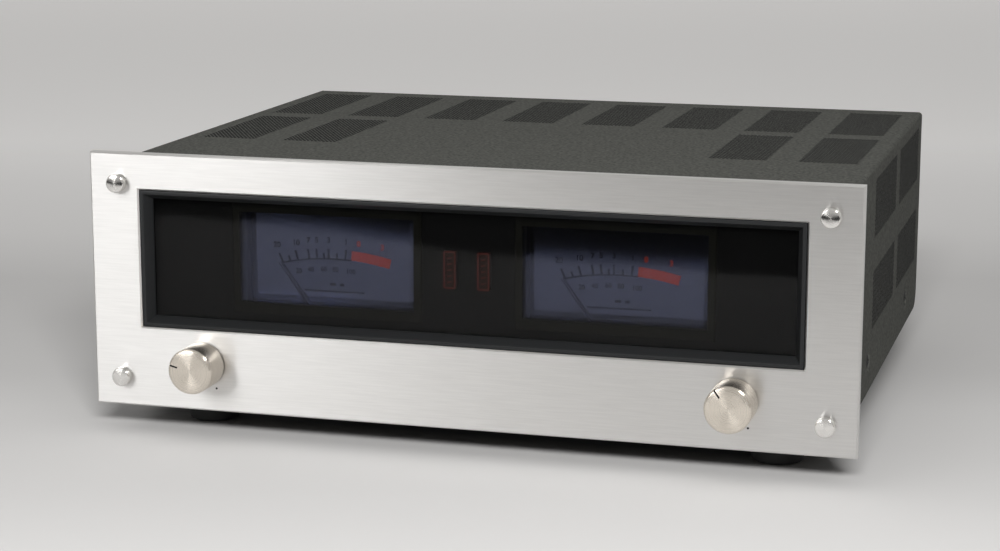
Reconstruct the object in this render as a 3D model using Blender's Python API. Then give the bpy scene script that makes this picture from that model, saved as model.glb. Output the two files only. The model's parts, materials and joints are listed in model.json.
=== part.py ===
# Stereo power amplifier: brushed faceplate, two level meters behind a smoked window, perforated cover.
# Metres. X runs to the right seen from the front, Y to the back, Z up, and the feet stand on z = 0.
import math

import bmesh
import bpy
from mathutils import Matrix, Vector

for old_object in list(bpy.data.objects):
    bpy.data.objects.remove(old_object)

# Driving sizes, with depths counted from the front face of the faceplate
plate_width = 0.3905
plate_height = 0.1305
plate_thickness = 0.005
plate_lift = 0.0155
case_depth = 0.315
cover_inset = 0.00765
cover_drop = 0.006
cover_rise = 0.00935
window_margin = 0.02625
window_sill = 0.04145
window_head = 0.01855
screw_inset = 0.01525
knob_share = 0.697
knob_rise_share = 0.58
knob_reach = 0.0176
meter_width_share = 0.2692
meter_height_share = 0.6411
meter_offset_share = 0.2186
meter_rise = 0.00135
pivot_drop_share = 0.6071
boss_length = 0.0092
lever_reach = 0.0145
panel_setback = 0.002
dish_depth = 0.002

# Sheet, clearances and cutting
sheet = 0.0012
bracket_sheet = 0.0015
seat_gap = 0.0003
overrun = 0.002
merge_distance = 0.000001

# Facets on round pieces and on bent corners
fine_steps = 36
round_steps = 18
small_steps = 12
tiny_steps = 8
corner_steps = 3
smooth_angle = math.radians(35)

# Places that several pieces share
plate_half = plate_width / 2
plate_top = plate_lift + plate_height
case_half = plate_half - cover_inset
case_top = plate_top - cover_drop
case_bottom = plate_lift + cover_rise
window_half = plate_half - window_margin
window_low = plate_lift + window_sill
window_high = plate_top - window_head
window_height = window_high - window_low
screw_x = plate_half - screw_inset
screw_rows = (plate_lift + screw_inset, plate_top - screw_inset)
knob_x = plate_half * knob_share
knob_z = plate_lift + window_sill * knob_rise_share
meter_x = 2 * window_half * meter_offset_share
meter_width = 2 * window_half * meter_width_share
meter_height = window_height * meter_height_share
meter_z = (window_low + window_high) / 2 + meter_rise
pivot_drop = window_height * pivot_drop_share
pivot_z = meter_z - pivot_drop
supply_board_half = (0.045, 0.023)
supply_board_share = 0.854
supply_board_rise = 0.01165
floor_top = case_bottom + sheet
deck = floor_top + seat_gap
frame_front = plate_thickness + seat_gap + boss_length
frame_back = frame_front + bracket_sheet
mount_face = frame_back + seat_gap
pan_half = case_half - dish_depth - sheet - seat_gap
supply_board_y = case_depth * supply_board_share
supply_board_low = deck + supply_board_rise
panel_back = case_depth - panel_setback
panel_front = panel_back - bracket_sheet
sides = (-1, 1)

finishes = {
    "brushed aluminium": ((0.62, 0.60, 0.56), 0.35, 1.0),
    "turned aluminium": ((0.70, 0.69, 0.66), 0.25, 1.0),
    "cast aluminium": ((0.45, 0.45, 0.45), 0.5, 1.0),
    "zinc steel": ((0.50, 0.49, 0.45), 0.4, 1.0),
    "dark paint": ((0.075, 0.075, 0.070), 0.6, 0.0),
    "black plastic": ((0.03, 0.03, 0.03), 0.5, 0.0),
    "olive plastic": ((0.10, 0.10, 0.07), 0.5, 0.0),
    "red plastic": ((0.45, 0.03, 0.02), 0.4, 0.0),
    "smoked acrylic": ((0.05, 0.05, 0.05), 0.05, 0.0),
    "blue acrylic": ((0.10, 0.22, 0.36), 0.1, 0.0),
    "blue dial": ((0.20, 0.30, 0.40), 0.6, 0.0),
    "lamp glass": ((0.90, 0.85, 0.70), 0.1, 0.0),
    "black rubber": ((0.02, 0.02, 0.02), 0.8, 0.0),
    "core steel": ((0.20, 0.19, 0.18), 0.6, 1.0),
    "copper": ((0.60, 0.30, 0.15), 0.4, 1.0),
    "blue sleeve": ((0.05, 0.10, 0.25), 0.4, 0.0),
    "brown board": ((0.30, 0.20, 0.08), 0.6, 0.0),
    "nickel": ((0.60, 0.58, 0.52), 0.25, 1.0),
}

amplifier = bpy.data.objects.new("amplifier", None)
amplifier.location = (0, -(case_depth + lever_reach - knob_reach) / 2, 0)
bpy.context.scene.collection.objects.link(amplifier)


# Outlines, as lists of (u, v) points
def arc(centre, radius, start, end, steps):
    u, v = centre
    angles = [start + (end - start) * i / steps for i in range(steps + 1)]
    return [(u + radius * math.cos(a), v + radius * math.sin(a)) for a in angles]


def circle(centre, radius, steps):
    return arc(centre, radius, 0, 2 * math.pi, steps)[:-1]


def rectangle(low, high):
    return [(low[0], low[1]), (high[0], low[1]), (high[0], high[1]), (low[0], high[1])]


def centred(centre, half_u, half_v):
    u, v = centre
    return rectangle((u - half_u, v - half_v), (u + half_u, v + half_v))


def rounded(centre, half_u, half_v, radius, steps=corner_steps):
    quarter = math.pi / 2
    points = []
    for turn, (side_u, side_v) in enumerate(((1, 1), (-1, 1), (-1, -1), (1, -1))):
        corner = (centre[0] + side_u * (half_u - radius), centre[1] + side_v * (half_v - radius))
        points += arc(corner, radius, quarter * turn, quarter * (turn + 1), steps)
    return points


def place(u, v, along, axis):
    places = {"x": (along, u, v), "y": (u, along, v), "z": (u, v, along)}
    return places[axis]


# Solids, added to a bmesh
def join_rings(bm, near, far):
    for i in range(len(near)):
        bm.faces.new((near[i - 1], near[i], far[i], far[i - 1]))


def add_stack(bm, levels, axis):
    # Outlines with their holes at several levels along an axis, joined wall by wall and filled at both ends
    rings = []
    for along, outlines in levels:
        rings.append([[bm.verts.new(place(u, v, along, axis)) for u, v in line] for line in outlines])
    for near, far in zip(rings, rings[1:]):
        for low, high in zip(near, far):
            join_rings(bm, low, high)
    for end in (rings[0], rings[-1]):
        edges = [bm.edges.get((loop[i - 1], loop[i])) for loop in end for i in range(len(loop))]
        bmesh.ops.triangle_fill(bm, edges=edges, use_beauty=True)


def add_plate(bm, outlines, axis, start, end):
    add_stack(bm, [(start, outlines), (end, outlines)], axis)


def add_box(bm, low, high):
    add_plate(bm, [rectangle(low[:2], high[:2])], "z", low[2], high[2])


def add_turned(bm, profile, centre, axis, steps):
    # A (radius, along) profile spun round the axis; one that starts off the axis is closed into a ring
    u, v = centre
    points = profile if profile[0][0] == 0 else profile + profile[:1]
    chain = [bm.verts.new(place(u + radius, v, along, axis)) for radius, along in points]
    edges = [bm.edges.new(pair) for pair in zip(chain, chain[1:])]
    middle = Vector(place(u, v, 0, axis))
    line = Vector(place(0, 0, 1, axis))
    bmesh.ops.spin(bm, geom=chain + edges, cent=middle, axis=line, angle=2 * math.pi, steps=steps)
    bmesh.ops.remove_doubles(bm, verts=bm.verts, dist=merge_distance)


def add_rod(bm, radius, centre, axis, start, end, steps):
    add_turned(bm, [(0, start), (radius, start), (radius, end), (0, end)], centre, axis, steps)


def add_frame(bm, section, outline_at):
    # An (inset, depth) section carried round an opening and mitred at its corners
    loops = [[bm.verts.new((x, y, z)) for x, z in outline_at(inset)] for inset, y in section]
    for near, far in zip(loops, loops[1:] + loops[:1]):
        join_rings(bm, near, far)


def turn_about(bm, centre, angle):
    bmesh.ops.rotate(bm, cent=centre, matrix=Matrix.Rotation(angle, 3, "Y"), verts=bm.verts)


# Objects
def make_object(name, bm, at):
    bmesh.ops.recalc_face_normals(bm, faces=bm.faces)
    bmesh.ops.translate(bm, verts=bm.verts, vec=-Vector(at))
    mesh = bpy.data.meshes.new(name)
    bm.to_mesh(mesh)
    bm.free()
    piece = bpy.data.objects.new(name, mesh)
    piece.location = at
    piece.parent = amplifier
    bpy.context.scene.collection.objects.link(piece)
    return piece


def finish(name, bm, finish_name, at=(0, 0, 0), smooth=False):
    piece = make_object(name, bm, at)
    if smooth:
        piece.data.shade_smooth()
        piece.data.set_sharp_from_angle(angle=smooth_angle)
    colour, roughness, metallic = finishes[finish_name]
    material = bpy.data.materials.new(name)
    material.use_nodes = True
    shader = material.node_tree.nodes["Principled BSDF"]
    shader.inputs["Base Color"].default_value = (*colour, 1)
    shader.inputs["Roughness"].default_value = roughness
    shader.inputs["Metallic"].default_value = metallic
    piece.data.materials.append(material)
    return piece


def combine(piece, what, bm, operation):
    tool = make_object(piece.name + "_" + what, bm, (0, 0, 0))
    tool.hide_render = True
    tool.display_type = "WIRE"
    modifier = piece.modifiers.new(what, "BOOLEAN")
    modifier.operation = operation
    modifier.solver = "EXACT"
    modifier.object = tool


def cut(piece, what, bm):
    combine(piece, what, bm, "DIFFERENCE")


def weld(piece, what, bm):
    combine(piece, what, bm, "UNION")


# Faceplate: thick plate with its window, chamfered front edges, screw and shaft holes
plate_chamfer = 0.0008
screw_hole_radius = 0.003
shaft_hole_radius = 0.004


def make_faceplate():
    middle = (0, plate_lift + plate_height / 2)
    window_middle = (0, (window_low + window_high) / 2)
    window_rise = (window_high - window_low) / 2
    holes = [circle((side * screw_x, z), screw_hole_radius, small_steps) for side in sides for z in screw_rows]
    holes += [circle((side * knob_x, knob_z), shaft_hole_radius, small_steps) for side in sides]

    def outlines(chamfer):
        edge = centred(middle, plate_half - chamfer, plate_height / 2 - chamfer)
        window = centred(window_middle, window_half + chamfer, window_rise + chamfer)
        return [edge, window] + holes

    levels = [(0, outlines(plate_chamfer)), (plate_chamfer, outlines(0)), (plate_thickness, outlines(0))]
    bm = bmesh.new()
    add_stack(bm, levels, "y")
    finish("faceplate", bm, "brushed aluminium")


# Window bezel: moulded frame, its lip just behind the front face, walls sloping in to the pane
bezel_setback = 0.0006
bezel_lip = 0.002
bezel_slope = 0.0027
bezel_edge = 0.0006
bezel_pocket = 0.002
bezel_flange = 0.004
bezel_back_wall = 0.0009
pane_thickness = 0.003
pane_front = plate_thickness + bezel_pocket + seat_gap
pane_back = pane_front + pane_thickness
bezel_back = pane_back + bezel_back_wall


def window_outline(inset):
    return rectangle((-window_half + inset, window_low + inset), (window_half - inset, window_high - inset))


def make_window_bezel():
    lip_end = seat_gap + bezel_lip
    inner = lip_end + bezel_slope
    pocket_face = pane_front - seat_gap
    flange_front = plate_thickness + seat_gap
    section = [(seat_gap, bezel_setback), (lip_end, bezel_setback), (inner, pocket_face - bezel_edge),
               (inner, pocket_face), (bezel_pocket, pocket_face), (bezel_pocket, bezel_back),
               (-bezel_flange, bezel_back), (-bezel_flange, flange_front), (seat_gap, flange_front)]
    bm = bmesh.new()
    add_frame(bm, section, window_outline)
    finish("window_bezel", bm, "black plastic")


def make_smoked_window():
    pane = window_outline(bezel_pocket + seat_gap)
    bm = bmesh.new()
    add_plate(bm, [pane], "y", pane_front, pane_back)
    finish("smoked_window", bm, "smoked acrylic")


# Meter surrounds: chamfered frames round the two meter faces
surround_side = 0.0045
surround_rise = 0.0063
surround_thickness = 0.0016
surround_chamfer = 0.0006
cover_clearance = 0.0006


def make_meter_surround(name, x):
    back = frame_front - seat_gap
    front = back - surround_thickness
    half_x, half_z = meter_width / 2, meter_height / 2
    edge = centred((x, meter_z), half_x + surround_side, half_z + surround_rise)
    inset_side, inset_rise = surround_side - surround_chamfer, surround_rise - surround_chamfer
    face = centred((x, meter_z), half_x + inset_side, half_z + inset_rise)
    opening = centred((x, meter_z), half_x + cover_clearance, half_z + cover_clearance)
    levels = [(front, [face, opening]), (front + surround_chamfer, [edge, opening]), (back, [edge, opening])]
    bm = bmesh.new()
    add_stack(bm, levels, "y")
    finish(name, bm, "olive plastic", (x, 0, 0))


# Sub-chassis: bent bracket that carries meters, lamps and gain controls, with four bosses for the faceplate
frame_headroom = 0.002
frame_lip = 0.0132
boss_radius = 0.004
boss_bore_radius = 0.0028
bush_hole_radius = 0.005
lens_width = 0.006
lens_height = 0.0186
lens_spacing = 0.0173
lens_drop = 0.0003
lens_rim = 0.0008
frame_half = pan_half - sheet - seat_gap
lens_z = meter_z - lens_drop


def make_sub_chassis():
    low = (-frame_half, deck)
    high = (frame_half, case_top - frame_headroom)
    outlines = [rectangle(low, high)]
    for side in sides:
        slot_half = (lens_width / 2 - lens_rim, lens_height / 2 - lens_rim)
        outlines.append(centred((side * meter_x, meter_z), meter_width / 2 + cover_clearance,
                                meter_height / 2 + cover_clearance))
        outlines.append(centred((side * lens_spacing / 2, lens_z), *slot_half))
        outlines.append(circle((side * knob_x, knob_z), bush_hole_radius, small_steps))
    bm = bmesh.new()
    add_plate(bm, outlines, "y", frame_front, frame_back)
    piece = finish("sub_chassis", bm, "dark paint")
    lip = bmesh.new()
    add_box(lip, (-frame_half, frame_front + bracket_sheet / 2, deck),
            (frame_half, frame_back + frame_lip, deck + bracket_sheet))
    weld(piece, "lip", lip)
    bosses, bores = bmesh.new(), bmesh.new()
    for side in sides:
        for z in screw_rows:
            spot = (side * screw_x, z)
            near, middle = frame_front - boss_length, frame_front + bracket_sheet / 2
            add_rod(bosses, boss_radius, spot, "y", near, middle, tiny_steps)
            add_rod(bores, boss_bore_radius, spot, "y", near - overrun, frame_back + overrun, tiny_steps)
    weld(piece, "bosses", bosses)
    cut(piece, "bores", bores)


# Faceplate screws with turned heads
head_radius = 0.0048
head_proud = 0.0044
head_chamfer = 0.0008
screw_shank_radius = 0.0025
screw_shank_length = 0.012


def make_faceplate_screw(name, x, z):
    under_head = -seat_gap
    profile = [(0, -head_proud), (head_radius - head_chamfer, -head_proud),
               (head_radius, head_chamfer - head_proud), (head_radius, under_head),
               (screw_shank_radius, under_head), (screw_shank_radius, screw_shank_length),
               (0, screw_shank_length)]
    bm = bmesh.new()
    add_turned(bm, profile, (x, z), "y", round_steps)
    finish(name, bm, "turned aluminium", (x, 0, z), smooth=True)


# Meters: clear cover, case, dial plate, movement and needle
cover_proud = 0.0028
cover_wall = 0.0014
cover_skirt = 0.004
cover_corner = 0.0012
cover_fillet = 0.0008
cover_flange_side = 0.0015
cover_flange_rise = 0.0022
cover_flange_thickness = 0.0012
case_wall = 0.0017
case_foot = 0.01275
case_back_wall = 0.002
shelf_side = 0.0033
shelf_depth = 0.0092
meter_depth = 0.0314
dial_thickness = 0.0008
dial_drop_share = 0.5642
dial_drop = meter_height * dial_drop_share
cavity_half = meter_width / 2 + cover_flange_side + seat_gap
cavity_top = meter_z + meter_height / 2 + cover_flange_rise + seat_gap
cavity_low = pivot_z - case_foot
meter_cover_back = mount_face + cover_flange_thickness + cover_skirt
shelf_face = mount_face + shelf_depth
meter_back = mount_face + meter_depth
cavity_back = meter_back - case_back_wall


def make_meter_cover(name, x):
    def outline(grow_x, grow_z):
        return [rounded((x, meter_z), meter_width / 2 + grow_x, meter_height / 2 + grow_z, cover_corner)]

    front = frame_front - cover_proud
    flange_back = mount_face + cover_flange_thickness
    inside, outside = outline(-cover_wall, -cover_wall), outline(0, 0)
    flange = outline(cover_flange_side, cover_flange_rise)
    levels = [(front + cover_wall, inside), (meter_cover_back, inside), (meter_cover_back, outside),
              (flange_back, outside), (flange_back, flange), (mount_face, flange), (mount_face, outside),
              (front + cover_fillet, outside), (front, outline(-cover_fillet, -cover_fillet))]
    bm = bmesh.new()
    add_stack(bm, levels, "y")
    finish(name, bm, "blue acrylic", (x, 0, 0))


def make_meter_case(name, x):
    def outline(grow, drop):
        low = (x - cavity_half - grow, cavity_low - drop)
        return [rectangle(low, (x + cavity_half + grow, cavity_top + grow))]

    rear, front = outline(-shelf_side, -shelf_side / 4), outline(0, 0)
    outside = outline(case_wall, case_wall)
    levels = [(cavity_back, rear), (shelf_face, rear), (shelf_face, front), (mount_face, front),
              (mount_face, outside), (meter_back, outside)]
    bm = bmesh.new()
    add_stack(bm, levels, "y")
    finish(name, bm, "black plastic", (x, 0, 0))


def make_meter_dial(name, x):
    half = cavity_half - seat_gap
    back = shelf_face - seat_gap
    bm = bmesh.new()
    plate = rectangle((x - half, meter_z - dial_drop), (x + half, cavity_top - seat_gap))
    add_plate(bm, [plate], "y", back - dial_thickness, back)
    finish(name, bm, "blue dial", (x, 0, 0))


needle_length_share = 1.133
needle_tail = 0.009
needle_root = 0.0016
needle_tip = 0.0006
needle_thickness = 0.0006
needle_hub_radius = 0.0026
needle_hub_length = 0.0018
needle_shaft_radius = 0.001
needle_shaft_length = 0.0108
needle_weight_radius = 0.0018
needle_setback = 0.0002
needle_clearance = 0.0006
needle_rest = math.radians(-36.5)
movement_radius = 0.0113
movement_boss_radius = 0.005
movement_boss_length = 0.002
movement_clearance = 0.0005
bearing_clearance = 0.0004
needle_length = pivot_drop * needle_length_share
hub_front = meter_cover_back + needle_clearance
shaft_end = hub_front + needle_hub_length + needle_shaft_length


def make_meter_movement(name, x):
    bore = needle_shaft_radius + bearing_clearance
    front = shelf_face - seat_gap + movement_clearance
    step = front + movement_boss_length
    back = cavity_back - seat_gap
    bore_end = shaft_end + seat_gap
    profile = [(0, bore_end), (bore, bore_end), (bore, front), (movement_boss_radius, front),
               (movement_boss_radius, step), (movement_radius, step), (movement_radius, back), (0, back)]
    bm = bmesh.new()
    add_turned(bm, profile, (x, pivot_z), "y", small_steps)
    finish(name, bm, "zinc steel", (x, 0, pivot_z), smooth=True)


def make_meter_needle(name, x):
    # Tapered pointer with a round counterweight, swung to its rest and joined to its hub and shaft
    arm_front = hub_front + needle_setback
    arm = [(x + needle_root / 2, pivot_z), (x + needle_tip / 2, pivot_z + needle_length),
           (x - needle_tip / 2, pivot_z + needle_length), (x - needle_root / 2, pivot_z)]
    neck = math.asin(needle_root / 2 / needle_weight_radius)
    start, sweep = math.pi / 2 + neck, 2 * (math.pi - neck)
    weight = arc((x, pivot_z - needle_tail), needle_weight_radius, start, start + sweep, small_steps)
    bm = bmesh.new()
    add_plate(bm, [arm + weight], "y", arm_front, arm_front + needle_thickness)
    turn_about(bm, (x, 0, pivot_z), needle_rest)
    piece = finish(name, bm, "black plastic", (x, 0, pivot_z))
    hub_back = hub_front + needle_hub_length
    profile = [(0, hub_front), (needle_hub_radius, hub_front), (needle_hub_radius, hub_back),
               (needle_shaft_radius, hub_back), (needle_shaft_radius, shaft_end), (0, shaft_end)]
    hub = bmesh.new()
    add_turned(hub, profile, (x, pivot_z), "y", small_steps)
    weld(piece, "hub", hub)


# Indicators between the meters: a moulded lens with two windows, its light box, and the lamps on their base
lens_chamfer = 0.0005
lens_web = 0.0012
lens_web_half = 0.004
light_box_depth = 0.0174
light_box_wall = 0.0014
cell_side = 0.0025
cell_back = 0.002
lamp_base = 0.0016
bulb_radius = 0.003
bulb_length = 0.0085
bulb_clearance = 0.0005
cell_half_x = lens_width / 2 + cell_side
cell_half_z = lens_height / 2
box_back = mount_face + light_box_depth
cell_end = box_back - cell_back
lamp_hole_radius = bulb_radius + bulb_clearance


def make_indicator_lens():
    front = pane_back + seat_gap
    back = frame_front - seat_gap
    windows = []
    for side in sides:
        centre = (side * lens_spacing / 2, lens_z)
        edge = centred(centre, lens_width / 2, lens_height / 2)
        face = centred(centre, lens_width / 2 - lens_chamfer, lens_height / 2 - lens_chamfer)
        windows.append([(front, [face]), (front + lens_chamfer, [edge]), (back, [edge])])
    first, second, web = bmesh.new(), bmesh.new(), bmesh.new()
    add_stack(first, windows[0], "y")
    add_stack(second, windows[1], "y")
    piece = finish("indicator_lens", first, "red plastic")
    weld(piece, "second_window", second)
    bar = centred((0, lens_z), lens_spacing / 2, lens_web_half)
    add_plate(web, [bar], "y", back - lens_web, back - lens_web / 2)
    weld(piece, "web", web)


def make_indicator_light_box():
    half_x = lens_spacing / 2 + cell_half_x + light_box_wall
    bm = bmesh.new()
    outline = centred((0, lens_z), half_x, cell_half_z + light_box_wall)
    add_plate(bm, [outline], "y", mount_face, mount_face + light_box_depth)
    piece = finish("indicator_light_box", bm, "black plastic")
    cells = bmesh.new()
    for side in sides:
        cell = centred((side * lens_spacing / 2, lens_z), cell_half_x, cell_half_z)
        add_plate(cells, [cell], "y", mount_face - overrun, cell_end)
        spot = (side * lens_spacing / 2, lens_z)
        add_rod(cells, lamp_hole_radius, spot, "y", cell_end, box_back + overrun, tiny_steps)
    cut(piece, "cells", cells)


def make_indicator_lamps():
    # Two round-nosed bulbs soldered to one base behind the light box
    base_front = box_back + seat_gap
    bulb_front = base_front - bulb_length
    nose = arc((0, bulb_front + bulb_radius), bulb_radius, -math.pi / 2, 0, corner_steps)
    bulb = [(radius if i else 0, along) for i, (radius, along) in enumerate(nose)]
    bulb += [(bulb_radius, base_front + lamp_base / 2), (0, base_front + lamp_base / 2)]
    base, bulbs = bmesh.new(), bmesh.new()
    outline = centred((0, lens_z), lens_spacing / 2 + cell_half_x, cell_half_z / 2)
    add_plate(base, [outline], "y", base_front, base_front + lamp_base)
    for side in sides:
        add_turned(bulbs, bulb, (side * lens_spacing / 2, lens_z), "y", tiny_steps)
    piece = finish("indicator_lamps", base, "lamp glass", smooth=True)
    weld(piece, "bulbs", bulbs)


# Gain controls: turned knobs with a pointer groove, shafts, bodies with solder lugs, and nuts
knob_radius = 0.0116
knob_chamfer = 0.001
knob_gap = 0.0008
knob_face = 0.0035
knob_recess_radius = 0.008
knob_recess = 0.003
groove_width = 0.0009
groove_length = 0.0048
groove_depth = 0.0004
left_pointer = math.radians(-75)
right_pointer = math.radians(-35.5)
gain_shaft_radius = 0.003
gain_shaft_depth = 0.0051
pot_radius = 0.0085
pot_depth = 0.0104
bush_radius = 0.0047
bush_reach = 0.0081
lug_width = 0.0016
lug_thickness = 0.0008
lug_length = 0.0026
lug_pitch = 0.004
shaft_tip = knob_face - knob_reach
gain_shaft_end = mount_face + gain_shaft_depth


def make_gain_knob(name, x, pointer):
    front, back = -knob_reach, -knob_gap
    bore = gain_shaft_radius + seat_gap
    bore_end = shaft_tip - seat_gap
    step = back - knob_recess
    profile = [(0, bore_end), (bore, bore_end), (bore, step), (knob_recess_radius, step),
               (knob_recess_radius, back), (knob_radius, back), (knob_radius, front + knob_chamfer),
               (knob_radius - knob_chamfer, front), (0, front)]
    bm = bmesh.new()
    add_turned(bm, profile, (x, knob_z), "y", fine_steps)
    piece = finish(name, bm, "turned aluminium", (x, 0, knob_z), smooth=True)
    rim = knob_z + knob_radius
    inner, floor = rim - groove_length, rim - groove_depth
    outline = [(front - overrun, inner), (front + groove_depth, inner), (front + groove_depth, floor),
               (back + overrun, floor), (back + overrun, rim + overrun), (front - overrun, rim + overrun)]
    groove = bmesh.new()
    add_plate(groove, [outline], "x", x - groove_width / 2, x + groove_width / 2)
    turn_about(groove, (x, 0, knob_z), pointer)
    cut(piece, "pointer", groove)


def make_gain_shaft(name, x):
    bm = bmesh.new()
    add_rod(bm, gain_shaft_radius, (x, knob_z), "y", shaft_tip, gain_shaft_end, small_steps)
    finish(name, bm, "zinc steel", (x, 0, knob_z), smooth=True)


def make_gain_pot(name, x):
    bore = gain_shaft_radius + seat_gap
    bore_end = gain_shaft_end + seat_gap
    bush_front = mount_face - bush_reach
    back = mount_face + pot_depth
    profile = [(0, bore_end), (bore, bore_end), (bore, bush_front), (bush_radius, bush_front),
               (bush_radius, mount_face), (pot_radius, mount_face), (pot_radius, back), (0, back)]
    bm = bmesh.new()
    add_turned(bm, profile, (x, knob_z), "y", small_steps)
    piece = finish(name, bm, "zinc steel", (x, 0, knob_z), smooth=True)
    lugs = bmesh.new()
    top = knob_z - pot_radius / 2
    low = knob_z - pot_radius - lug_length
    lug_back = back - pot_depth / 4
    for turn in (-1, 0, 1):
        middle = x + turn * lug_pitch
        add_box(lugs, (middle - lug_width / 2, lug_back - lug_thickness, low),
                (middle + lug_width / 2, lug_back, top))
    weld(piece, "lugs", lugs)


# Case: chassis pan, rear panel and the bent cover with its perforated patches and dished screw places
cover_bend = 0.003
dish_radius = 0.0068
dish_floor_radius = 0.0046
dish_rise_share = 0.1424
dish_shares = (0.298, 0.816)
cover_hole_radius = 0.0022
pan_bend = 0.0017
flange_rise = 0.030
post_radius = 0.003
post_inset = 0.006
foot_margin = 0.0376
foot_shares = (0.149, 0.889)
foot_hole_radius = 0.0023
vent_count = 8
vent_width = 0.003
vent_length = 0.024
vent_margin = 0.0335
vent_shares = (0.36, 0.79)
panel_half = case_half - sheet - seat_gap
panel_top = case_top - sheet - seat_gap
case_rise = case_top - case_bottom
inside_rise = panel_top - deck
dish_z = case_bottom + case_rise * dish_rise_share
foot_x = case_half - foot_margin
dish_places = [case_depth * share for share in dish_shares]
foot_places = [case_depth * share for share in foot_shares]


def channel(half, web, open_end, wall, bend):
    # U outline: a web with two sides bent from it, seen along the bends
    up = 1 if web > open_end else -1
    centre = (half - bend, web - up * bend)
    outer = [(half, open_end)] + arc(centre, bend, 0, up * math.pi / 2, corner_steps)
    inner = [(half - wall, open_end)] + arc(centre, bend - wall, 0, up * math.pi / 2, corner_steps)
    return (outer + [(-u, v) for u, v in reversed(outer)] + [(-u, v) for u, v in inner]
            + list(reversed(inner)))


def make_chassis_pan():
    bm = bmesh.new()
    outline = channel(pan_half, case_bottom, case_bottom + flange_rise, sheet, pan_bend)
    add_plate(bm, [outline], "y", mount_face, panel_back)
    piece = finish("chassis_pan", bm, "zinc steel")
    holes = bmesh.new()
    reach = pan_half + overrun
    for y in dish_places:
        add_rod(holes, cover_hole_radius, (y, dish_z), "x", -reach, reach, tiny_steps)
    low, high = case_bottom - overrun, floor_top + overrun
    vent_start, vent_end = (case_depth * share for share in vent_shares)
    for side in sides:
        for y in foot_places:
            add_rod(holes, foot_hole_radius, (side * foot_x, y), "z", low, high, tiny_steps)
        middle = side * (case_half - vent_margin)
        for i in range(vent_count):
            y = vent_start + (vent_end - vent_start) * i / (vent_count - 1)
            add_box(holes, (middle - vent_length / 2, y - vent_width / 2, low),
                    (middle + vent_length / 2, y + vent_width / 2, high))
        notch = sorted((side * (pan_half - sheet - seat_gap), side * reach))
        add_box(holes, (notch[0], panel_front - seat_gap, low), (notch[1], panel_back + overrun,
                                                                 case_bottom + flange_rise + overrun))
    posts = bmesh.new()
    for u in sides:
        for v in sides:
            across, along = (half - post_inset for half in supply_board_half)
            spot = (u * across, supply_board_y + v * along)
            add_rod(posts, post_radius, spot, "z", case_bottom + sheet / 2, supply_board_low - seat_gap,
                    tiny_steps)
    weld(piece, "board_posts", posts)
    cut(piece, "holes", holes)


# Rear panel, with the places of what it carries given as shares of its half width and of its height
panel_corner = 0.0025
panel_lip = 0.0125
jack_stem_radius = 0.0047
fuse_hole_radius = 0.0063
gland_hole_radius = 0.006
jack_share = 0.70
jack_rise_shares = (0.66, 0.46)
terminal_share = 0.24
terminal_rise_share = 0.41
outlet_share = -0.376
outlet_rise_share = 0.49
fuse_share = -0.62
fuse_rise_share = 0.49
gland_share = -0.806
gland_rise_share = 0.165


def rear_place(across_share, rise_share):
    return (panel_half * across_share, deck + inside_rise * rise_share)


jack_places = [rear_place(jack_share, share) for share in jack_rise_shares]
terminal_place = rear_place(terminal_share, terminal_rise_share)
outlet_place = rear_place(outlet_share, outlet_rise_share)
fuse_place = rear_place(fuse_share, fuse_rise_share)
gland_place = rear_place(gland_share, gland_rise_share)
terminal_body_half = (0.042, 0.014)
outlet_body_half = (0.014, 0.025)


def make_rear_panel():
    corner_x, corner_z = panel_half - panel_corner, panel_top - panel_corner
    outline = [(-panel_half, deck), (panel_half, deck)]
    outline += arc((corner_x, corner_z), panel_corner, 0, math.pi / 2, corner_steps)
    outline += arc((-corner_x, corner_z), panel_corner, math.pi / 2, math.pi, corner_steps)
    outlines = [outline, circle(gland_place, gland_hole_radius, small_steps)]
    outlines.append(centred(terminal_place, *(half + seat_gap for half in terminal_body_half)))
    outlines.append(centred(outlet_place, *(half + seat_gap for half in outlet_body_half)))
    outlines += [circle(spot, jack_stem_radius + seat_gap, small_steps) for spot in jack_places]
    outlines.append(circle(fuse_place, fuse_hole_radius, small_steps))
    bm = bmesh.new()
    add_plate(bm, outlines, "y", panel_front, panel_back)
    piece = finish("rear_panel", bm, "dark paint")
    lip_half = pan_half - sheet - seat_gap
    lip = bmesh.new()
    add_box(lip, (-lip_half, panel_front - panel_lip, deck),
            (lip_half, panel_back - bracket_sheet / 2, deck + bracket_sheet))
    weld(piece, "lip", lip)


patch_columns = 8
patch_pitch_share = 0.1239
patch_width_share = 0.0853
patch_margin = 0.015
rear_patch_length = 0.0945
front_patch_length = 0.0905
patch_gap = 0.0155
front_columns = (0, 1, 6, 7)
side_patch_drop_share = 0.0630
side_patch_gap_share = 0.1320
side_patch_height_share = 0.2779
slot_count = 6
slot_width = 0.003
rear_corner = 0.011
patch_pitch = 2 * case_half * patch_pitch_share
patch_width = 2 * case_half * patch_width_share
side_patch_drop = case_rise * side_patch_drop_share
side_patch_gap = case_rise * side_patch_gap_share
side_patch_height = case_rise * side_patch_height_share


def slot_rows(middle, width):
    # Edges of the slots that share one patch
    step = (width - slot_width) / (slot_count - 1)
    starts = [middle - width / 2 + step * i for i in range(slot_count)]
    return [(start, start + slot_width) for start in starts]


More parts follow.
